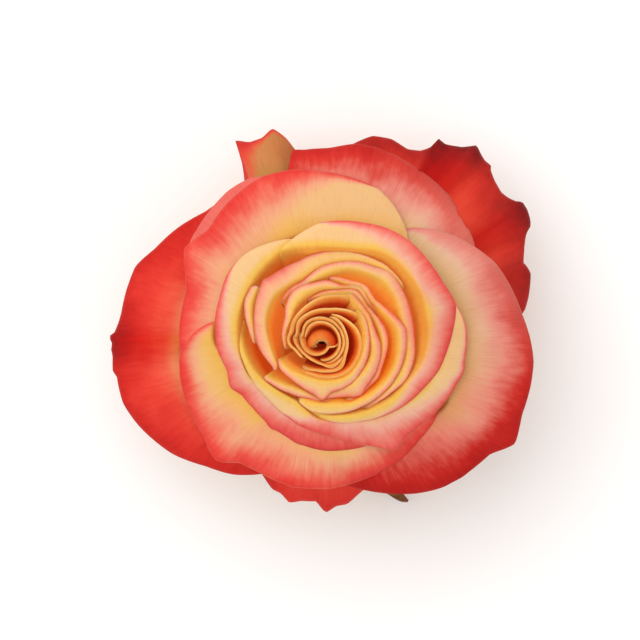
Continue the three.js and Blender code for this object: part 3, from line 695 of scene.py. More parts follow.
def petal_colour():
    """Colour, painted glow, roughness and relief of a petal, by its distances to the edge and the
    fold.
    """
    tree, given, result = new_tree(
        "petal_colour", "ShaderNodeTree",
        [(label, "Color", (1, 1, 1, 1)) for label in ZONES]
        + [(label, "Float", value) for label, value in (
            ("Streak", 0.5), ("Patch", 0.3), ("Vein", 0.3), ("Fold Reach", 4.0),
            ("Wall Reach", 8.0), ("Flush", 0.0))],
        [("Color", "Color"), ("Glow", "Color"), ("Roughness", "Float"), ("Height", "Float")])
    patterns = petal_patterns(tree)
    fold = attribute(tree, "fold_mm")
    inward, outward, down = petal_zones(tree, given, patterns, fold)
    colour = zone_colours(tree, given, fold, inward, outward, down)
    colour = shaded_colours(tree, given, patterns, down, colour)
    # Painted glow: the wall gives off light of its own colour, more the deeper it lies, in place
    # of light shining through the thin petals.
    glow = blend(tree, rise(tree, down, 0.0, 0.5), (0, 0, 0, 1), colour)
    fine = maths(tree, "ADD", patterns["streaks"], product(tree, patterns["grain"], 0.15))
    height = maths(tree, "ADD", product(tree, patterns["veins"], 0.6), fine)
    rough = rough_between(tree, patterns["patches"], 0.6, 0.8)
    for label, source in (("Color", colour), ("Glow", glow), ("Roughness", rough),
                          ("Height", height)):
        tree.links.new(source, result[label])
    return tree


relief_tree = petal_relief()
colour_tree = petal_colour()


def linear(red, green, blue):
    """A colour as it is seen, 0 to 255, in the renderer's linear values."""
    return tuple(((c / 255 + 0.055) / 1.055) ** 2.4 if c > 10 else c / 3294.6
                 for c in (red, green, blue)) + (1.0,)


def skin_material(name, skin_tree, bump_strength, bump_distance, shader_values):
    """A material whose colour, roughness and fine relief come from one shared group."""
    material = bpy.data.materials.new(name)
    material.use_nodes = True
    tree = material.node_tree
    shader = tree.nodes["Principled BSDF"]
    skin = tree.nodes.new("ShaderNodeGroup")
    skin.node_tree = skin_tree
    bump = add_node(tree, "ShaderNodeBump", [("Height", skin.outputs["Height"]),
                    ("Strength", bump_strength), ("Distance", bump_distance)])
    tree.links.new(skin.outputs["Color"], shader.inputs["Base Color"])
    tree.links.new(skin.outputs["Roughness"], shader.inputs["Roughness"])
    tree.links.new(bump.outputs["Normal"], shader.inputs["Normal"])
    for label, value in shader_values.items():
        shader.inputs[label].default_value = value
    return material, skin, shader


def petal_material(name, colours, streak=0.25, patch=0.55, vein=0.2, fold_reach=4.0,
                   wall_reach=8.0, flush=0.0, glow=0.1, through=0.4):
    """A petal face, coloured from its edge over its fold down to the deepest part of its wall,
    with a painted glow on that wall.
    """
    material, skin, shader = skin_material(name, colour_tree, 0.3, 0.0004, {
        "Emission Strength": glow, "Subsurface Weight": through,
        "Subsurface Radius": (1.0, 0.65, 0.3), "Subsurface Scale": 0.002,
        "Specular IOR Level": 0.12})
    material.node_tree.links.new(skin.outputs["Glow"], shader.inputs["Emission Color"])
    for label, value in zip(ZONES, colours):
        skin.inputs[label].default_value = linear(*value)
    for label, value in (("Streak", streak), ("Patch", patch), ("Vein", vein),
                         ("Fold Reach", fold_reach), ("Wall Reach", wall_reach),
                         ("Flush", flush)):
        skin.inputs[label].default_value = value
    return material


BLADE_THICKNESS = 0.00034


def grow(piece, tree, values):
    """Gives a piece a geometry tree and sets the tree's named inputs."""
    nodes = piece.modifiers.new("growth", "NODES")
    nodes.node_group = tree
    for item in tree.interface.items_tree:
        if item.in_out == "INPUT" and item.name in values:
            nodes[item.identifier] = values[item.name]


def thicken(piece, thickness):
    """Turns a sheet into a thin blade, with the second material on its back."""
    wall = piece.modifiers.new("thickness", "SOLIDIFY")
    wall.thickness = thickness
    wall.offset = 0
    wall.material_offset = 1
    wall.material_offset_rim = 0


def evaluated_mesh(piece):
    return bpy.data.meshes.new_from_object(
        piece.evaluated_get(bpy.context.evaluated_depsgraph_get()))


def finish_petal(name, petal, face, back, relief):
    """Makes one petal: its sheet, the soft relief, its thickness and its two faces."""
    piece = bpy.data.objects.new(name + "_blade", petal_sheet(name + "_sheet", petal))
    bpy.context.scene.collection.objects.link(piece)
    piece.data.materials.append(face)
    piece.data.materials.append(back)
    grow(piece, relief_tree, {**relief, "Material": face})
    thicken(piece, BLADE_THICKNESS)
    solid = evaluated_mesh(piece)
    piece.modifiers.clear()
    piece.data = solid
    solid.name = name + "_blade"
    if len(solid.materials) < 2:
        solid.materials.append(back)
    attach(piece, "root")
    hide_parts(name)


heart_face = petal_material("heart_face", [
    (250, 206, 134), (246, 186, 108), (242, 166, 88), (240, 160, 80),
    (240, 156, 76), (238, 146, 66), (222, 108, 44)],
    fold_reach=1.2, wall_reach=4.0, through=0.6)
heart_back = petal_material("heart_back", [
    (250, 204, 132), (246, 180, 102), (240, 160, 84), (238, 154, 76),
    (236, 148, 70), (232, 136, 60), (218, 104, 42)],
    fold_reach=1.2, wall_reach=4.0, through=0.6)
bud_face = petal_material("bud_face", [
    (248, 200, 124), (246, 184, 108), (242, 168, 94), (240, 164, 92),
    (240, 164, 92), (236, 150, 78), (216, 106, 46)],
    fold_reach=1.5, wall_reach=4.5, through=0.6)
for name, petal in HEART_PETALS.items():
    finish_petal(name, {**HEART_GROUP, **petal},
                 bud_face if "hood" in petal else heart_face, heart_back,
                 {"Dent Depth": 0.0002, "Ripple Height": 0.0004})

# Inner petals: nine warm yellow petals that open round the spiral, each with a thin pink edge.
# They stand close against one another, and their lips slip under the lips of the next.
INNER_PETALS = {
    "inner_petal_07": {"rank": 11.7, "ridge": 59.4, "drops": (3, 2), "droop": 0.3,
        "round": (1, 2),
        "blush": [(195, 0.6), (215, 0.9), (240, 1), (262, 1.8), (285, 1)],
        "edge": [(205, 12.1, 0.3), (211, 12.3, 0.6), (218, 12.3, 1), (227, 12.1, 1.3),
        (238, 12.1, 2), (250, 12.6, 2.8), (262, 13.4, 3.6), (270, 14.9, 4.4), (280, 12.8, 2.6),
        (295, 12.4, 2.1), (312, 12.3, 1.5), (330, 12.1, 1.2), (348, 11.9, 0.9), (366, 11.8, 0.6),
        (384, 12, 0.3), (398, 11.8, 0.3)]},
    "inner_petal_04": {"rank": 13.2, "ridge": 59.6, "drops": (1.8, 1.5), "droop": 0.3,
        "middle": 315,
        "blush": [(280, 1), (306, 2.2), (330, 1.4)],
        "edge": [(270, 14.1, 0.6), (282, 14.3, 1.2), (294, 15, 2.1), (306, 16.8, 3.6),
        (315, 15.7, 2.5), (330, 15.4, 2.1), (345, 15, 1.6), (358, 14.4, 1.5), (370, 13.3, 1.1),
        (380, 12.6, 0.7), (395, 12.3, 0.4), (420, 12, 0.3)]},
    "inner_petal_08": {"rank": 14.4, "ridge": 58.8, "drops": (2, 2), "droop": 0.3, "middle": 405,
        "edge": [(292, 16.4, 0.3), (308, 16.4, 0.4), (328, 16.1, 0.6), (345, 16.1, 0.8),
        (360, 16.4, 1.2), (372, 15.9, 1), (384, 14.9, 0.5), (398, 14.1, 0.35), (415, 13.2, 0.3),
        (432, 12.5, 0.25), (450, 11.6, 0.25), (464, 11, 0.2)]},
    "inner_petal_06": {"rank": 15.7, "ridge": 59.3, "drops": (3, 2), "droop": 0.3,
        "round": (2, 1),
        "edge": [(30, 16, 0.3), (40, 15.1, 0.4), (55, 14.2, 0.5), (70, 14.1, 0.6),
        (85, 15.1, 1.2), (98, 14.6, 1.4), (110, 14.7, 2.1), (120, 14.4, 2.6), (128, 13.5, 2.3),
        (136, 12.4, 2), (146, 10.9, 1.2), (158, 10.3, 0.7), (170, 10, 0.4), (182, 9.6, 0.3),
        (188, 9.4, 0.25)]},
    "inner_petal_05": {"rank": 16.6, "ridge": 59, "drops": (1.2, 2), "droop": 0.3,
        "round": (1, 2),
        "edge": [(213, 17.2, 0.3), (220, 16.4, 0.6), (228, 15.8, 1), (238, 15.1, 1.3),
        (248, 14.8, 1.1), (258, 14.6, 0.9), (268, 14.7, 0.6), (280, 14.4, 0.3)]},
    "inner_petal_03": {"rank": 17.8, "ridge": 60, "drops": (1.2, 1.5), "droop": 0.28,
        "blush": [(-90, 0.2), (-40, 1), (8, 1.6), (70, 1.4)],
        "edge": [(-108, 16.4, 0.7), (-98, 17.5, 1.6), (-84, 18, 2), (-70, 18.5, 2),
        (-58, 18.9, 1.3), (-44, 19.5, 0.9), (-30, 20.1, 0.9), (-15, 20.6, 0.9), (-2, 20.8, 1.3),
        (8, 21.1, 1.6), (18, 19.2, 0.9), (28, 17.6, 0.6), (38, 16.6, 0.5), (50, 15.9, 0.45),
        (64, 15.7, 0.4), (80, 16.2, 0.3)]},
    "inner_petal_02": {"rank": 19.2, "ridge": 59.5, "drops": (2, 2), "droop": 0.28, "middle": 60,
        "blush": [(-30, 0.8), (20, 1.8), (50, 2), (75, 1)],
        "edge": [(-58, 20, 0.3), (-47, 20.4, 0.6), (-37, 20.9, 1), (-24, 22.6, 1.8),
        (-10, 23.2, 2), (4, 22.9, 2.2), (18, 23.1, 2.3), (32, 23.6, 2), (45, 23.9, 2.2),
        (55, 22.5, 1.8), (66, 21.6, 1.6), (77, 20.1, 1.6), (88, 18.7, 1.8), (98, 17.1, 1.6),
        (108, 15.7, 1.1), (120, 15.3, 0.6), (132, 14.4, 0.3)]},
    "inner_petal_01": {"rank": 20.5, "ridge": 59, "drops": (2, 1.2), "droop": 0.3,
        "round": (2, 0.7),
        "blush": [(75, 0.3), (100, 1.1), (118, 3.4), (150, 3.6), (180, 2.4), (205, 1)],
        "edge": [(36, 24.6, 0.4), (43, 24.6, 0.7), (50, 24.4, 1), (62, 23.8, 1.6),
        (75, 23.1, 2.4), (88, 22.4, 3.4), (98, 21.4, 3.6), (107, 20.5, 3.6), (120, 20.4, 3.6),
        (128, 20.5, 3.7), (134, 21, 4), (140, 20.1, 3.4), (150, 18.9, 2.8), (160, 17.8, 2.5),
        (170, 16.9, 2.5), (180, 16.2, 2.7), (190, 15.2, 2.3), (198, 14.4, 1.6), (205, 13.8, 1),
        (210, 13.3, 0.5)]},
    "inner_petal_09": {"rank": 22, "ridge": 58.5, "drops": (1.2, 1.2), "droop": 0.28,
        "middle": 178,
        "edge": [(142, 22.2, 1.5), (152, 21.6, 1.4), (160, 20.3, 1.2), (168, 18.8, 0.9),
        (178, 17.4, 0.6)]},
}
INNER_GROUP = {
    "margin": 1.0, "round": (2, 2), "roll": 0.05,
    # painted_wall_shade: painted shade on the inner walls that face away from the window.
    "painted_wall_shade": [(0, 0.6), (30, 0.3), (45, 0.08), (80, 0), (180, 0), (215, 0.3), (260, 0.7),
              (300, 0.9), (340, 0.9), (360, 0.6)]}

inner_face = petal_material("inner_face", [
    (236, 108, 98), (242, 154, 128), (242, 180, 132), (242, 190, 122),
    (243, 184, 94), (243, 180, 80), (244, 172, 78)],
    fold_reach=1.2, wall_reach=9.0, glow=0.2, through=0.6)
inner_back = petal_material("inner_back", [
    (238, 126, 110), (243, 166, 126), (246, 190, 132), (245, 190, 116),
    (244, 180, 92), (243, 170, 78), (238, 140, 50)],
    fold_reach=2.0, wall_reach=10.0, glow=0.16, through=0.6)
for name, petal in INNER_PETALS.items():
    finish_petal(name, {**INNER_GROUP, **petal}, inner_face, inner_back,
                 {"Dent Depth": 0.0003, "Ripple Height": 0.0006})

# Ring petals: three large petals that stand round the open middle and roll outward at the top.
# Their lips are broad and firm, with a strong pink margin that turns down at the rim.
RING_PETALS = {
    "ring_petal_right": {"rank": 23.2, "ridge": 59.5, "drops": (1.8, 1.8), "droop": 0.4,
        "blush": [(270, 0), (305, 0.05), (320, 0.3), (338, 0.9), (385, 1.2), (415, 1),
        (432, 0.45), (445, 0.25), (452, 0)],
        "edge": [(258, 17.2, 0.8), (270, 19, 1), (284, 20.7, 1.5), (298, 22.2, 1.8),
        (311, 24.1, 2.6), (323, 25.9, 3), (335, 27.6, 3.7), (346, 29.7, 4.2), (356, 31.1, 4.8),
        (366, 32.7, 5.8), (375.5, 34.4, 7.4), (386, 33.3, 5.6), (396, 33, 5.2), (408, 33, 5.4),
        (420, 32.2, 5.8), (432, 30.9, 6.4), (443, 30, 6.2), (451, 29.2, 5.4), (460, 27.4, 3.4),
        (468, 26, 1.4)]},
    "ring_petal_bottom": {"rank": 25.1, "ridge": 58.5, "drops": (3.5, 1.8), "droop": 0.42,
        "blush": [(240, 0), (258, 0.5), (275, 1.2), (304, 2), (318, 1.2), (335, 0.6), (350, 0.3),
        (370, 0.1)],
        "edge": [(174, 20.6, 0.3), (186, 20.4, 0.5), (196, 20, 0.9), (208, 19.7, 1.6),
        (220, 19.5, 2.6), (234, 19.7, 3.3), (246, 20.6, 4.3), (258, 21.7, 4.9), (269, 22.8, 4.9),
        (278, 24.1, 5), (286, 26, 5.8), (295, 28.4, 7), (304, 32.4, 9), (311, 31.6, 8),
        (319, 31.9, 7.5), (328, 33.2, 7), (338, 34.6, 7), (349, 35.6, 6.5), (360, 35.9, 6),
        (369, 35.5, 5.5), (378, 34, 4.5), (392, 30, 3)]},
    "ring_petal_left": {"rank": 27, "ridge": 57.5, "drops": (1.5, 1.8), "droop": 0.42,
        "blush": [(135, 0), (150, 0.35), (165, 0.6), (190, 0.85), (215, 1), (240, 1.2), (258, 2),
        (300, 2)],
        # Painted shade, warming the lower stretch of the lip towards orange-red.
        "painted_shade_and_tone": [(245, 0), (265, 0.35), (300, 0.4)],
        "edge": [(106, 26.4, 1.6), (118, 27.6, 3.2), (130, 28.7, 5), (140, 28.9, 5.8),
        (157, 27.6, 5.4), (168, 27.1, 5.2), (178, 26.4, 5.2), (188, 25.4, 4.9), (197, 24.6, 4.6),
        (207, 25.3, 5.3), (214, 23.9, 4.8), (224, 23.8, 4.7), (236, 24.3, 4.7), (248, 25.1, 4.8),
        (260, 26.2, 5), (271, 27.1, 5.4), (283, 27.6, 5.5), (293, 28.1, 5.2), (306, 27.6, 3.6)]},
}
RING_GROUP = {"margin": 4.0, "round": (5, 5), "roll": 0.3}

ring_face = petal_material("ring_face", [
    (232, 76, 74), (238, 116, 102), (240, 168, 148), (239, 188, 134),
    (240, 184, 86), (240, 166, 72), (236, 134, 48)],
    fold_reach=2.2, wall_reach=12.0, glow=0.16, through=0.5)
ring_back = petal_material("ring_back", [
    (234, 92, 84), (240, 134, 112), (244, 184, 138), (243, 192, 128),
    (240, 180, 90), (240, 166, 76), (236, 132, 50)],
    fold_reach=3.5, wall_reach=14.0, glow=0.12, through=0.5)
for name, petal in RING_PETALS.items():
    finish_petal(name, {**RING_GROUP, **petal}, ring_face, ring_back,
                 {"Dent Depth": 0.0004, "Ripple Height": 0.001})

# Outer petals: two broad petals at the left, cream with a wide pink margin. They have folded
# down far over the guard petals, so most of what is seen of them is the turned-out inner face.
OUTER_PETALS = {
    "outer_petal_lower_left": {"rank": 28.7, "ridge": 55.3, "drops": (0.6, 1.8), "droop": 0.42,
        "blush": [(185, 0.5), (205, 0.6), (225, 1.2), (255, 1.1), (280, 0.7), (300, 1),
        (330, 0.4)],
        "edge": [(181, 34.6, 7), (186, 35.6, 10), (194, 36.4, 12), (202, 36.9, 13),
        (210, 37.3, 14), (219, 37.8, 15), (228.5, 39.8, 16.5), (236, 36.6, 14.5), (244, 36.2, 14),
        (252, 36.6, 14), (262, 36.9, 14), (272, 36.7, 13), (282, 36.2, 12.5), (292, 35.7, 11),
        (304, 35.4, 10), (314, 34.4, 8), (325, 34.1, 6), (336, 32, 4)]},
    "outer_petal_upper_left": {"rank": 30.2, "ridge": 54, "drops": (1.5, 2.7), "droop": 0.48,
        "blush": [(70, 0), (85, 0.25), (105, 1.1), (125, 1.5), (150, 1.3), (165, 1), (190, 1)],
        "edge": [(50, 33.5, 4), (57, 36.2, 8), (63, 38.4, 11), (70, 40.3, 13.5), (80, 41.4, 15.5),
        (90, 42.3, 16.5), (100, 43.4, 17.5), (110, 43.7, 18.5), (118, 42.6, 18.5),
        (126, 41.5, 18), (136, 39.7, 16.5), (146, 41.4, 17), (153, 38.2, 14), (160, 36, 13),
        (170, 35.8, 12.5), (180, 35.6, 12.5), (190, 34.5, 11), (202, 31.5, 8), (214, 28, 4)]},
}
OUTER_GROUP = {"margin": 8, "round": (10, 10), "roll": 0.35}

outer_face = petal_material("outer_face", [
    (222, 54, 48), (232, 86, 72), (237, 156, 122), (236, 180, 124),
    (235, 174, 86), (234, 150, 58), (226, 100, 34)],
    fold_reach=9.0, wall_reach=12.0)
outer_back = petal_material("outer_back", [
    (228, 74, 66), (238, 122, 100), (244, 182, 136), (244, 192, 128),
    (240, 182, 94), (238, 180, 100), (220, 190, 104)],
    fold_reach=5.0, wall_reach=22.0, flush=0.3, vein=0.4)
for name, petal in OUTER_PETALS.items():
    finish_petal(name, {**OUTER_GROUP, **petal}, outer_face, outer_back,
                 {"Dent Depth": 0.0006, "Ripple Height": 0.0018})

# Guard petals: the broad outermost petals, red at the edge, with one ruffled dark red petal,
# one ragged end and one narrow tan petal folded along its middle. They lie out almost flat.
GUARD_PETALS = {
    "guard_petal_right": {"rank": 31.7, "ridge": 52.5, "drops": (1.8, 2.1), "droop": 0.42,
        "blush": [(-90, 1), (-62, 1.3), (-45, 1.4), (-25, 1.1), (0, 0.8), (16, 0.7), (28, 0.45),
        (40, 0.3), (50, 0.1)],
        # Painted shade: the petal darkens towards the lower right, away from the window.
        "painted_shade_and_tone": [(-80, 0.5), (-40, 0.5), (-15, 0.35), (15, 0.1), (30, 0)],
        "fade": [(-12, 0), (8, 0.25), (25, 0.6), (45, 0.7)],
        "edge": [(-92, 32, 4), (-84, 35, 7), (-75, 38.3, 9), (-66, 41.6, 11), (-58, 44.9, 13),
        (-50, 47.5, 15), (-42, 49, 16), (-34, 50.7, 17), (-28, 54.7, 19.3), (-20, 53.2, 19),
        (-12, 53.3, 19), (-6, 53.2, 19), (1, 52, 18), (8, 50.5, 17), (16, 49, 16), (24, 47.4, 15),
        (32, 44.6, 13), (39, 41.8, 11), (45.4, 39, 8), (51, 36.2, 6), (58, 32, 4)]},
    "guard_petal_upper_left": {"rank": 31.9, "ridge": 49, "drops": (1.8, 2.1), "droop": 0.55,
        "blush": [(90, 1.5), (150, 1.5)],
        "edge": [(92, 38, 6), (104, 42.5, 12), (114, 44.6, 15), (122, 44.4, 15), (130, 43.2, 14),
        (140, 41.7, 12), (149, 39.6, 10), (160, 35, 6)]},
    "guard_petal_top": {"rank": 33.2, "ridge": 47.5, "drops": (1.8, 1.8), "droop": 0.52,
        "middle": 78, "round": (10, 6),
        "blush": [(25, 0.8), (50, 0.8), (70, 1.2), (95, 1.6)],
        "fade": [(25, 0.6), (45, 0.35), (60, 0.1), (75, 0)],
        "edge": [(18, 40, 8), (33, 45.4, 13), (42, 47, 15), (50, 48.7, 17), (60, 49.4, 17),
        (70, 50.2, 17), (79, 50.4, 17.3), (88, 48.5, 16), (95, 48.2, 15), (98.9, 48.6, 15),
        (99.8, 46.5, 14), (101.4, 43.2, 12), (103, 40, 9)]},
    "guard_petal_left": {"rank": 33.3, "ridge": 45.5, "drops": (2.1, 2.4), "droop": 0.62,
        "blush": [(110, 1.1), (150, 1.3), (178, 1), (205, 1.2), (256, 1.3)],
        # Painted shade at the left tip, where the petal bends down away from the light.
        "painted_shade_and_tone": [(166, 0), (174, 0.3), (179, 0.9), (184, 0.7), (190, 0)],
        "edge": [(110, 40, 8), (120, 43, 12), (132, 43.7, 14), (142, 46, 15.5), (151, 48, 16),
        (158.5, 50.7, 17), (165.4, 50.9, 17), (171.9, 50.9, 17), (174.7, 51.3, 17.3),
        (177.9, 52.3, 17.6), (178.9, 53.6, 18), (180.7, 52.8, 17.5), (182.4, 53.1, 17.4),
        (184.1, 52.8, 17.3), (188.5, 53.2, 17.2), (189.6, 52.4, 17), (195.1, 52.5, 17),
        (197.3, 52.5, 17), (203.5, 51.2, 16.5), (207, 50.2, 16.2), (217, 47.1, 15),
        (227, 42.9, 13), (236, 40.3, 11.3), (246, 36.5, 7.8), (256, 32, 3.6)]},
    "guard_petal_ruffled": {"rank": 35, "ridge": 43.5, "drops": (1.5, 1.8), "droop": 0.7,
        "middle": 26,
        # Painted shade in the troughs of the ruffles, where the lip turns from the light.
        "painted_shade_and_tone": [(2, 0), (12, 0.05), (18, 0.7), (23, 0.1), (26, 0.1), (29, 0.7), (34, 0.9),
        (37, 0.4), (41, 0), (46, 0.1), (50, 0.8), (55, 1), (60, 1), (61.5, 0)],
        "waves": [(2, 0), (19, -1.6), (26, 1.4), (33, -1.8), (43, 1.2), (56, -2), (61, -0.4),
        (66, 0.4), (76, 0)],
        "edge": [(2, 46.6, 8), (9, 52, 14), (14.6, 54.3, 16), (17.9, 55.5, 18), (20.2, 55.1, 18),
        (21.1, 54.6, 18), (24.8, 56.3, 18), (27.8, 58.4, 19), (28.8, 60.3, 20), (30.2, 61.15, 20),
        (32.7, 61.9, 21), (34.7, 61.9, 21), (35.7, 60.6, 21), (37.5, 59.5, 20), (39.5, 58.9, 19),
        (42.8, 59.5, 19), (45.4, 60.8, 19), (46, 61.7, 20), (47.8, 61.6, 20), (49.8, 62.3, 21),
        (51.6, 63.2, 21), (52.4, 62.3, 21), (54.1, 60.6, 20), (57.9, 58.8, 19), (60.1, 58.9, 17),
        (60.5, 56.1, 16), (62.5, 54.1, 15.5), (65.9, 53, 15), (71, 53.8, 15), (76, 53.1, 14),
        (81, 50.1, 12), (90, 42.5, 7)]},
    "guard_petal_bottom": {"rank": 34.8, "ridge": 41, "drops": (1.5, 1.5), "droop": 0.7,
        "fade": [(250, 0.1), (272, 0.4), (290, 0.7)],
        "edge": [(237, 33.4, 3), (247, 37.3, 7), (251.5, 39.3, 9), (255, 39.8, 9.5),
        (258.7, 41.6, 11), (262.5, 40.6, 10), (268, 40.3, 9.5), (271.3, 43.2, 11.4),
        (275, 41.7, 10.5), (278.5, 41.6, 10.4), (283, 39.8, 8.4), (290, 37.5, 5.5),
        (302, 34.5, 2)]},
    "guard_petal_folded": {"rank": 35.1, "ridge": 39, "drops": (0.6, 0.6), "droop": 0.75,
        "blush": [(98, 0.25), (106, 0.5), (110, 1.6), (113, 4.5)],
        "painted_shade_and_tone": [(98, 0.5), (105, 0.1), (108, 0)],
        "edge": [(94, 44, 8), (98.3, 49, 13), (100.4, 52.4, 16), (103.2, 55.2, 18),
        (106.5, 53.6, 17), (110, 53.6, 17), (113.5, 55.4, 18), (114.2, 49, 15), (117, 43, 10)]},
}
GUARD_GROUP = {"round": (10, 10), "roll": 0.35}
PLEATS = {"guard_petal_ruffled": 0.0052}
SLIGHT_PLEATS = 0.0012
RED_MARGIN = 11

guard_face = petal_material("guard_face", [
    (196, 34, 28), (216, 54, 44), (238, 146, 128), (238, 188, 154),
    (238, 186, 108), (236, 160, 76), (228, 118, 46)],
    fold_reach=9.0, wall_reach=16.0)
guard_back = petal_material("guard_back", [
    (204, 52, 44), (224, 84, 66), (232, 136, 100), (238, 172, 124),
    (238, 182, 116), (236, 190, 118), (206, 196, 112)],
    fold_reach=6.0, wall_reach=26.0, flush=0.5, vein=0.5, streak=0.5)
red_face = petal_material("red_face", [
    (188, 28, 20), (206, 42, 34), (222, 66, 52), (230, 112, 86),
    (236, 168, 116), (236, 146, 78), (226, 110, 46)],
    fold_reach=5.0, wall_reach=16.0)
# The ruffled petal's dark red, darkest along its edge, is partly its own colour and partly painted
# shade of its ruffles.
ruffled_face = petal_material("ruffled_face", [
    (164, 24, 16), (180, 34, 24), (202, 48, 34), (212, 64, 46),
    (206, 92, 58), (198, 88, 50), (186, 76, 38)],
    fold_reach=7.0, wall_reach=16.0, patch=0.9)
tan_face = petal_material("tan_face", [
    (196, 44, 36), (214, 62, 50), (204, 104, 64), (190, 126, 74),
    (172, 128, 66), (148, 126, 58), (130, 126, 54)],
    fold_reach=14.0, wall_reach=16.0, patch=0.9)
rosy_face = petal_material("rosy_face", [
    (226, 96, 88), (232, 108, 98), (236, 132, 118), (238, 160, 126),
    (236, 170, 110), (236, 150, 76), (226, 112, 46)],
    fold_reach=7.0, wall_reach=16.0)
# Painted shade: shaded_face is the guard face made darker and greyer, for the right guard petal
# away from the window.
shaded_face = petal_material("shaded_face", [
    (188, 30, 26), (204, 46, 40), (226, 148, 134), (224, 178, 150),
    (214, 172, 120), (210, 154, 92), (204, 116, 58)],
    fold_reach=9.0, wall_reach=16.0)
faces_and_margins = {
    "guard_petal_right": (shaded_face, RED_MARGIN), "guard_petal_left": (red_face, 12),
    "guard_petal_upper_left": (rosy_face, 6), "guard_petal_ruffled": (ruffled_face, 9),
    "guard_petal_bottom": (red_face, 7), "guard_petal_folded": (tan_face, 3)}
for name, petal in GUARD_PETALS.items():
    face, margin = faces_and_margins.get(name, (guard_face, RED_MARGIN))
    finish_petal(name, {**GUARD_GROUP, "margin": margin, **petal}, face,
                 guard_back, {"Dent Depth": 0.0007, "Ripple Height": 0.0024,
                              "Pleat Height": PLEATS.get(name, SLIGHT_PLEATS),
                              "Pleat Size": 7.0})

# Hip and cut stem: the firm green cup that the petals grow from, on the stump of its stem.
# It grew as one piece, turned round the axis and faintly five-sided, with a pale cut end.
HIP_HEIGHTS = [0, 0.5, 3.2, 4.6, 6.2, 8.2, 10, 11.6, 12.6, 13]
HIP_RADII = [2.62, 2.75, 2.7, 3.5, 5.3, 6.5, 6.8, 6.55, 6.95, 9.4]
HIP_SIDES = 72
HIP_ROWS = 64
HIP_RIBS = 0.012
CONE_ROWS = 12
CONE_BLUNTNESS = 0.4
GLAND_SIDES = 5
GLAND_RADIUS = 0.00007
GLAND_LENGTH = 0.0007
GLAND_SIZES = (0.5, 1.1)
HIP_GLANDS = 90000.0  # on a square metre
HIP_SEED = 5


def hip_outline():
    """Height and radius up the stem and the hip, and on over the cone that seats the petals."""
    heights = np.linspace(0, HIP_HEIGHTS[-1], HIP_ROWS)
    radii = smooth_between(np.array(HIP_HEIGHTS, float), np.array(HIP_RADII), heights)
    cone = np.linspace(0, 1, CONE_ROWS)[1:-1]
    return (np.concatenate([heights, SEAT_HEIGHT + SEAT_CONE * cone])[:, None],
            np.concatenate([radii, HIP_RADII[-1] * (1 - cone)])[:, None])


def hip_mesh():
    """The hip, its seat and its stem as one closed skin."""
    heights, radii = hip_outline()
    turns = np.linspace(0, 2 * math.pi, HIP_SIDES, endpoint=False)
    ribs = 1 + HIP_RIBS * np.cos(5 * turns)
    points = np.stack([radii * ribs * np.cos(turns), radii * ribs * np.sin(turns),
                       np.broadcast_to(heights, (len(heights), HIP_SIDES))], axis=2)
    points = points.reshape(-1, 3).tolist()
    bottom, top = len(points), len(points) + 1
    points += [[0, 0, 0], [0, 0, SEAT_HEIGHT + SEAT_CONE - CONE_BLUNTNESS]]
    around_hip = [(k, (k + 1) % HIP_SIDES) for k in range(HIP_SIDES)]
    faces = [(row + k, row + n, row + HIP_SIDES + n, row + HIP_SIDES + k)
             for row in range(0, bottom - HIP_SIDES, HIP_SIDES) for k, n in around_hip]
    last = bottom - HIP_SIDES
    faces += [(n, k, bottom) for k, n in around_hip]
    faces += [(last + k, last + n, top) for k, n in around_hip]
    mesh = bpy.data.meshes.new("hip_skin")
    mesh.from_pydata((np.array(points) * MM).tolist(), [], faces)
    mesh.polygons.foreach_set("use_smooth", [True] * len(mesh.polygons))
    return mesh


def green_skin():
    """Colour, roughness and relief of green plant skin, browner where Brown is high."""
    tree, given, result = new_tree(
        "green_skin", "ShaderNodeTree",
        [("Green", "Color", (1, 1, 1, 1)), ("Light", "Color", (1, 1, 1, 1)),
         ("Flush", "Color", (1, 1, 1, 1)), ("Brown", "Float", 0.0)],
        [("Color", "Color"), ("Roughness", "Float"), ("Height", "Float")])
    place = add_node(tree, "ShaderNodeTexCoord").outputs["Object"]
    mottle = noise(tree, place, 260.0, 4.0)
    fine = noise(tree, stretched(tree, place, (1, 1, 0.3)), 1500.0, 2.0)
    light = rise(tree, mottle, 0.4, 0.65, "LINEAR")
    browned = rise(tree, product(tree, given["Brown"], mottle), 0.1, 0.5, "LINEAR")
    colour = blend(tree, light, given["Green"], given["Light"])
    tree.links.new(blend(tree, browned, colour, given["Flush"]), result["Color"])
    tree.links.new(rough_between(tree, fine, 0.45, 0.75), result["Roughness"])
    tree.links.new(fine, result["Height"])
    return tree


green_tree = green_skin()


def calyx_material(name, green, light, flush, brown_attribute=None, brown=0.0):
    """Green skin; brown_attribute names the mesh attribute that says where it turns brown."""
    material, skin, _ = skin_material(name, green_tree, 0.35, 0.0003, {
        "Subsurface Weight": 0.15, "Subsurface Scale": 0.001, "Specular IOR Level": 0.3})
    for label, value in (("Green", green), ("Light", light), ("Flush", flush)):
        skin.inputs[label].default_value = linear(*value)
    skin.inputs["Brown"].default_value = brown
    if brown_attribute:
        share = attribute(material.node_tree, brown_attribute)
        material.node_tree.links.new(share, skin.inputs["Brown"])
    return material


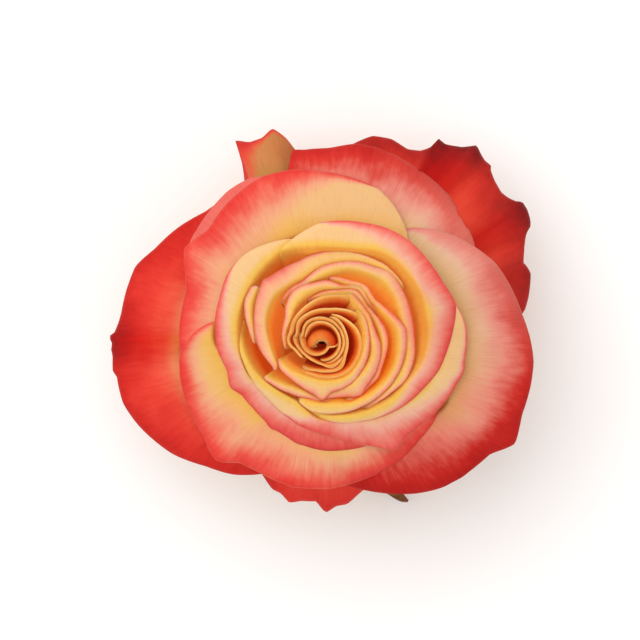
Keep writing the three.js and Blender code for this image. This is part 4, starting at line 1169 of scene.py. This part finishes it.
def gland_hairs():
    """Short stiff hairs that stand all over a skin, each ending in a blunt sticky gland."""
    tree, given, result = new_tree(
        "gland_hairs", "GeometryNodeTree",
        [("Geometry", "Geometry", None), ("Density", "Float", 150000.0),
         ("Length", "Float", GLAND_LENGTH), ("Radius", "Float", GLAND_RADIUS),
         ("Seed", "Int", 7), ("Material", "Material", None)],
        [("Geometry", "Geometry")])
    spread = add_node(tree, "GeometryNodeDistributePointsOnFaces",
                      [("Mesh", given["Geometry"]), ("Density", given["Density"]),
                       ("Seed", given["Seed"])])
    hair = add_node(tree, "GeometryNodeMeshCone",
                    [("Vertices", GLAND_SIDES), ("Radius Top", given["Radius"]),
                     ("Radius Bottom", given["Radius"]), ("Depth", given["Length"])])
    size = add_node(tree, "FunctionNodeRandomValue",
                    [(2, GLAND_SIZES[0]), (3, GLAND_SIZES[1]), ("Seed", given["Seed"])],
                    data_type="FLOAT")
    placed = add_node(tree, "GeometryNodeInstanceOnPoints",
                      [("Points", spread.outputs["Points"]), ("Instance", hair.outputs["Mesh"]),
                       ("Rotation", spread.outputs["Rotation"]), ("Scale", size.outputs[1])])
    finish_tree(tree, placed, given, result)
    return tree


gland_tree = gland_hairs()
gland_material = calyx_material("gland", (150, 120, 70), (170, 110, 70), (150, 60, 40), brown=0.8)


def finish_skin(name, mesh, face, back, density, seed):
    """Puts a green skin in place, with its glands as a mesh of their own."""
    skin = bpy.data.objects.new(name + "_skin", mesh)
    bpy.context.scene.collection.objects.link(skin)
    hairs = bpy.data.objects.new(name + "_glands", mesh.copy())
    bpy.context.scene.collection.objects.link(hairs)
    grow(hairs, gland_tree, {"Density": density, "Length": GLAND_LENGTH, "Radius": GLAND_RADIUS,
                             "Seed": seed, "Material": gland_material})
    solid = evaluated_mesh(hairs)
    for vertex in solid.vertices:
        vertex.co.z = max(vertex.co.z, 0)
    hairs.modifiers.clear()
    hairs.data = solid
    skin.data.materials.append(face)
    skin.data.materials.append(back)
    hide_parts(name)
    for piece in (skin, hairs):
        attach(piece, "root")


hip_green = calyx_material("hip_green", (104, 134, 62), (134, 158, 82), (150, 96, 70), brown=0.25)
finish_skin("hip_with_cut_stem", hip_mesh(), hip_green, hip_green, HIP_GLANDS, HIP_SEED)

# Sepals: five narrow green leaves under the petals, bent down onto the surface, brown at the
# tip and downy above. Two carry side leaflets, two are plain and one has them on one side only.
SEPALS = {
    "sepal_front": {"heading": 285, "reach": 45.7, "sideways": 10.6, "tip": 5, "lobes": (0, 0)},
    "sepal_right": {"heading": 357, "reach": 39, "sideways": -4, "tip": 4, "lobes": (0, 1)},
    "sepal_back_right": {"heading": 69, "reach": 37, "sideways": 3, "tip": 3.5, "lobes": (1, 1)},
    "sepal_back_left": {"heading": 141, "reach": 38, "sideways": -3, "tip": 4, "lobes": (0, 0)},
    "sepal_left": {"heading": 213, "reach": 36, "sideways": 4, "tip": 3.5, "lobes": (1, 1)},
}
SEPAL_ROOT = 7.2
SEPAL_HEIGHTS = (10.4, 14, -7.4)
SEPAL_RUN = 20
SEPAL_END = 5.3
SEPAL_BEND = 0.3
SEPAL_KEEL = 0.22
SEPAL_CURL = 0.25
SEPAL_WAVES = 9
SEPAL_THICKNESS = 0.6
SEPAL_LIFT = 0.55 * SEPAL_THICKNESS
SEPAL_PLACES = [0, 0.1, 0.22, 0.34, 0.4, 0.46, 0.54, 0.6, 0.66, 0.76, 0.86, 0.94, 1]
SEPAL_WIDTHS = [2.9, 3.6, 3.8, 3.4, 3.2, 2.9, 2.6, 2.4, 2.1, 1.7, 1.3, 0.95, 0.25]
SEPAL_LEAFLETS = [0, 0, 0, 0.2, 2.6, 0.2, 0, 2, 0.1, 0, 0, 0, 0]
SEPAL_ROWS = 90
SEPAL_COLUMNS = 17
SEPAL_GLANDS = 120000.0  # on a square metre
BROWN_FROM = 0.45


def sepal_line(sepal, t):
    """A sepal's middle line seen from above: how far it runs out and how far it bends aside."""
    reach, sideways = sepal["reach"], sepal["sideways"]
    return (bezier(SEPAL_ROOT, SEPAL_RUN, reach - SEPAL_END, reach, t),
            bezier(0, 0, SEPAL_BEND * sideways, sideways, t))


def sepal_points(sepal, place, across):
    """A grid over the blade: its sides fold up a little like a keel and carry its leaflets."""
    along, sideways = sepal_line(sepal, place)
    ahead, beside = (a - b for a, b in zip(sepal_line(sepal, place + 0.01), (along, sideways)))
    length = np.hypot(ahead, beside)
    half = smooth_between(np.array(SEPAL_PLACES), np.array(SEPAL_WIDTHS), place[:, 0])[:, None]
    leaflet = np.interp(place, SEPAL_PLACES, SEPAL_LEAFLETS)
    lobed = np.where(across < 0, *sepal["lobes"])
    width = across * half + np.sign(across) * lobed * leaflet * np.abs(across) ** 4
    x, y = along - beside / length * width, sideways + ahead / length * width
    curl = SEPAL_CURL * np.sin(SEPAL_WAVES * place * math.pi + across) * across ** 2
    rise_of_sides = SEPAL_KEEL * np.abs(across) ** 1.5 * half + curl * half / 3
    z = np.maximum(bezier(*SEPAL_HEIGHTS, sepal["tip"], place) + rise_of_sides, SEPAL_LIFT)
    turn = math.radians(sepal["heading"])
    return np.stack([x * math.cos(turn) - y * math.sin(turn),
                     x * math.sin(turn) + y * math.cos(turn), z], axis=2)


def sepal_mesh(name, sepal):
    """A sepal's blade with its thickness, and where it turns brown."""
    place = np.linspace(0, 1, SEPAL_ROWS)[:, None]
    across = np.linspace(-1, 1, SEPAL_COLUMNS)[None, :]
    brown = np.clip((place - BROWN_FROM) / (1 - BROWN_FROM), 0, 1) + 0.25 * np.abs(across) ** 3
    sheet = grid_mesh(name + "_sheet", sepal_points(sepal, place, across), {"brown": brown},
                      turned=True)
    blade = bpy.data.objects.new(name + "_sheet", sheet)
    bpy.context.scene.collection.objects.link(blade)
    thicken(blade, SEPAL_THICKNESS * MM)
    solid = evaluated_mesh(blade)
    bpy.data.objects.remove(blade)
    return solid


sepal_face = calyx_material("sepal_face", (128, 148, 92), (164, 176, 128), (126, 78, 46), "brown")
sepal_back = calyx_material("sepal_back", (96, 128, 58), (122, 148, 72), (138, 70, 44), "brown")
for seed, (name, sepal) in enumerate(SEPALS.items()):
    finish_skin(name, sepal_mesh(name, sepal), sepal_face, sepal_back, SEPAL_GLANDS, seed)
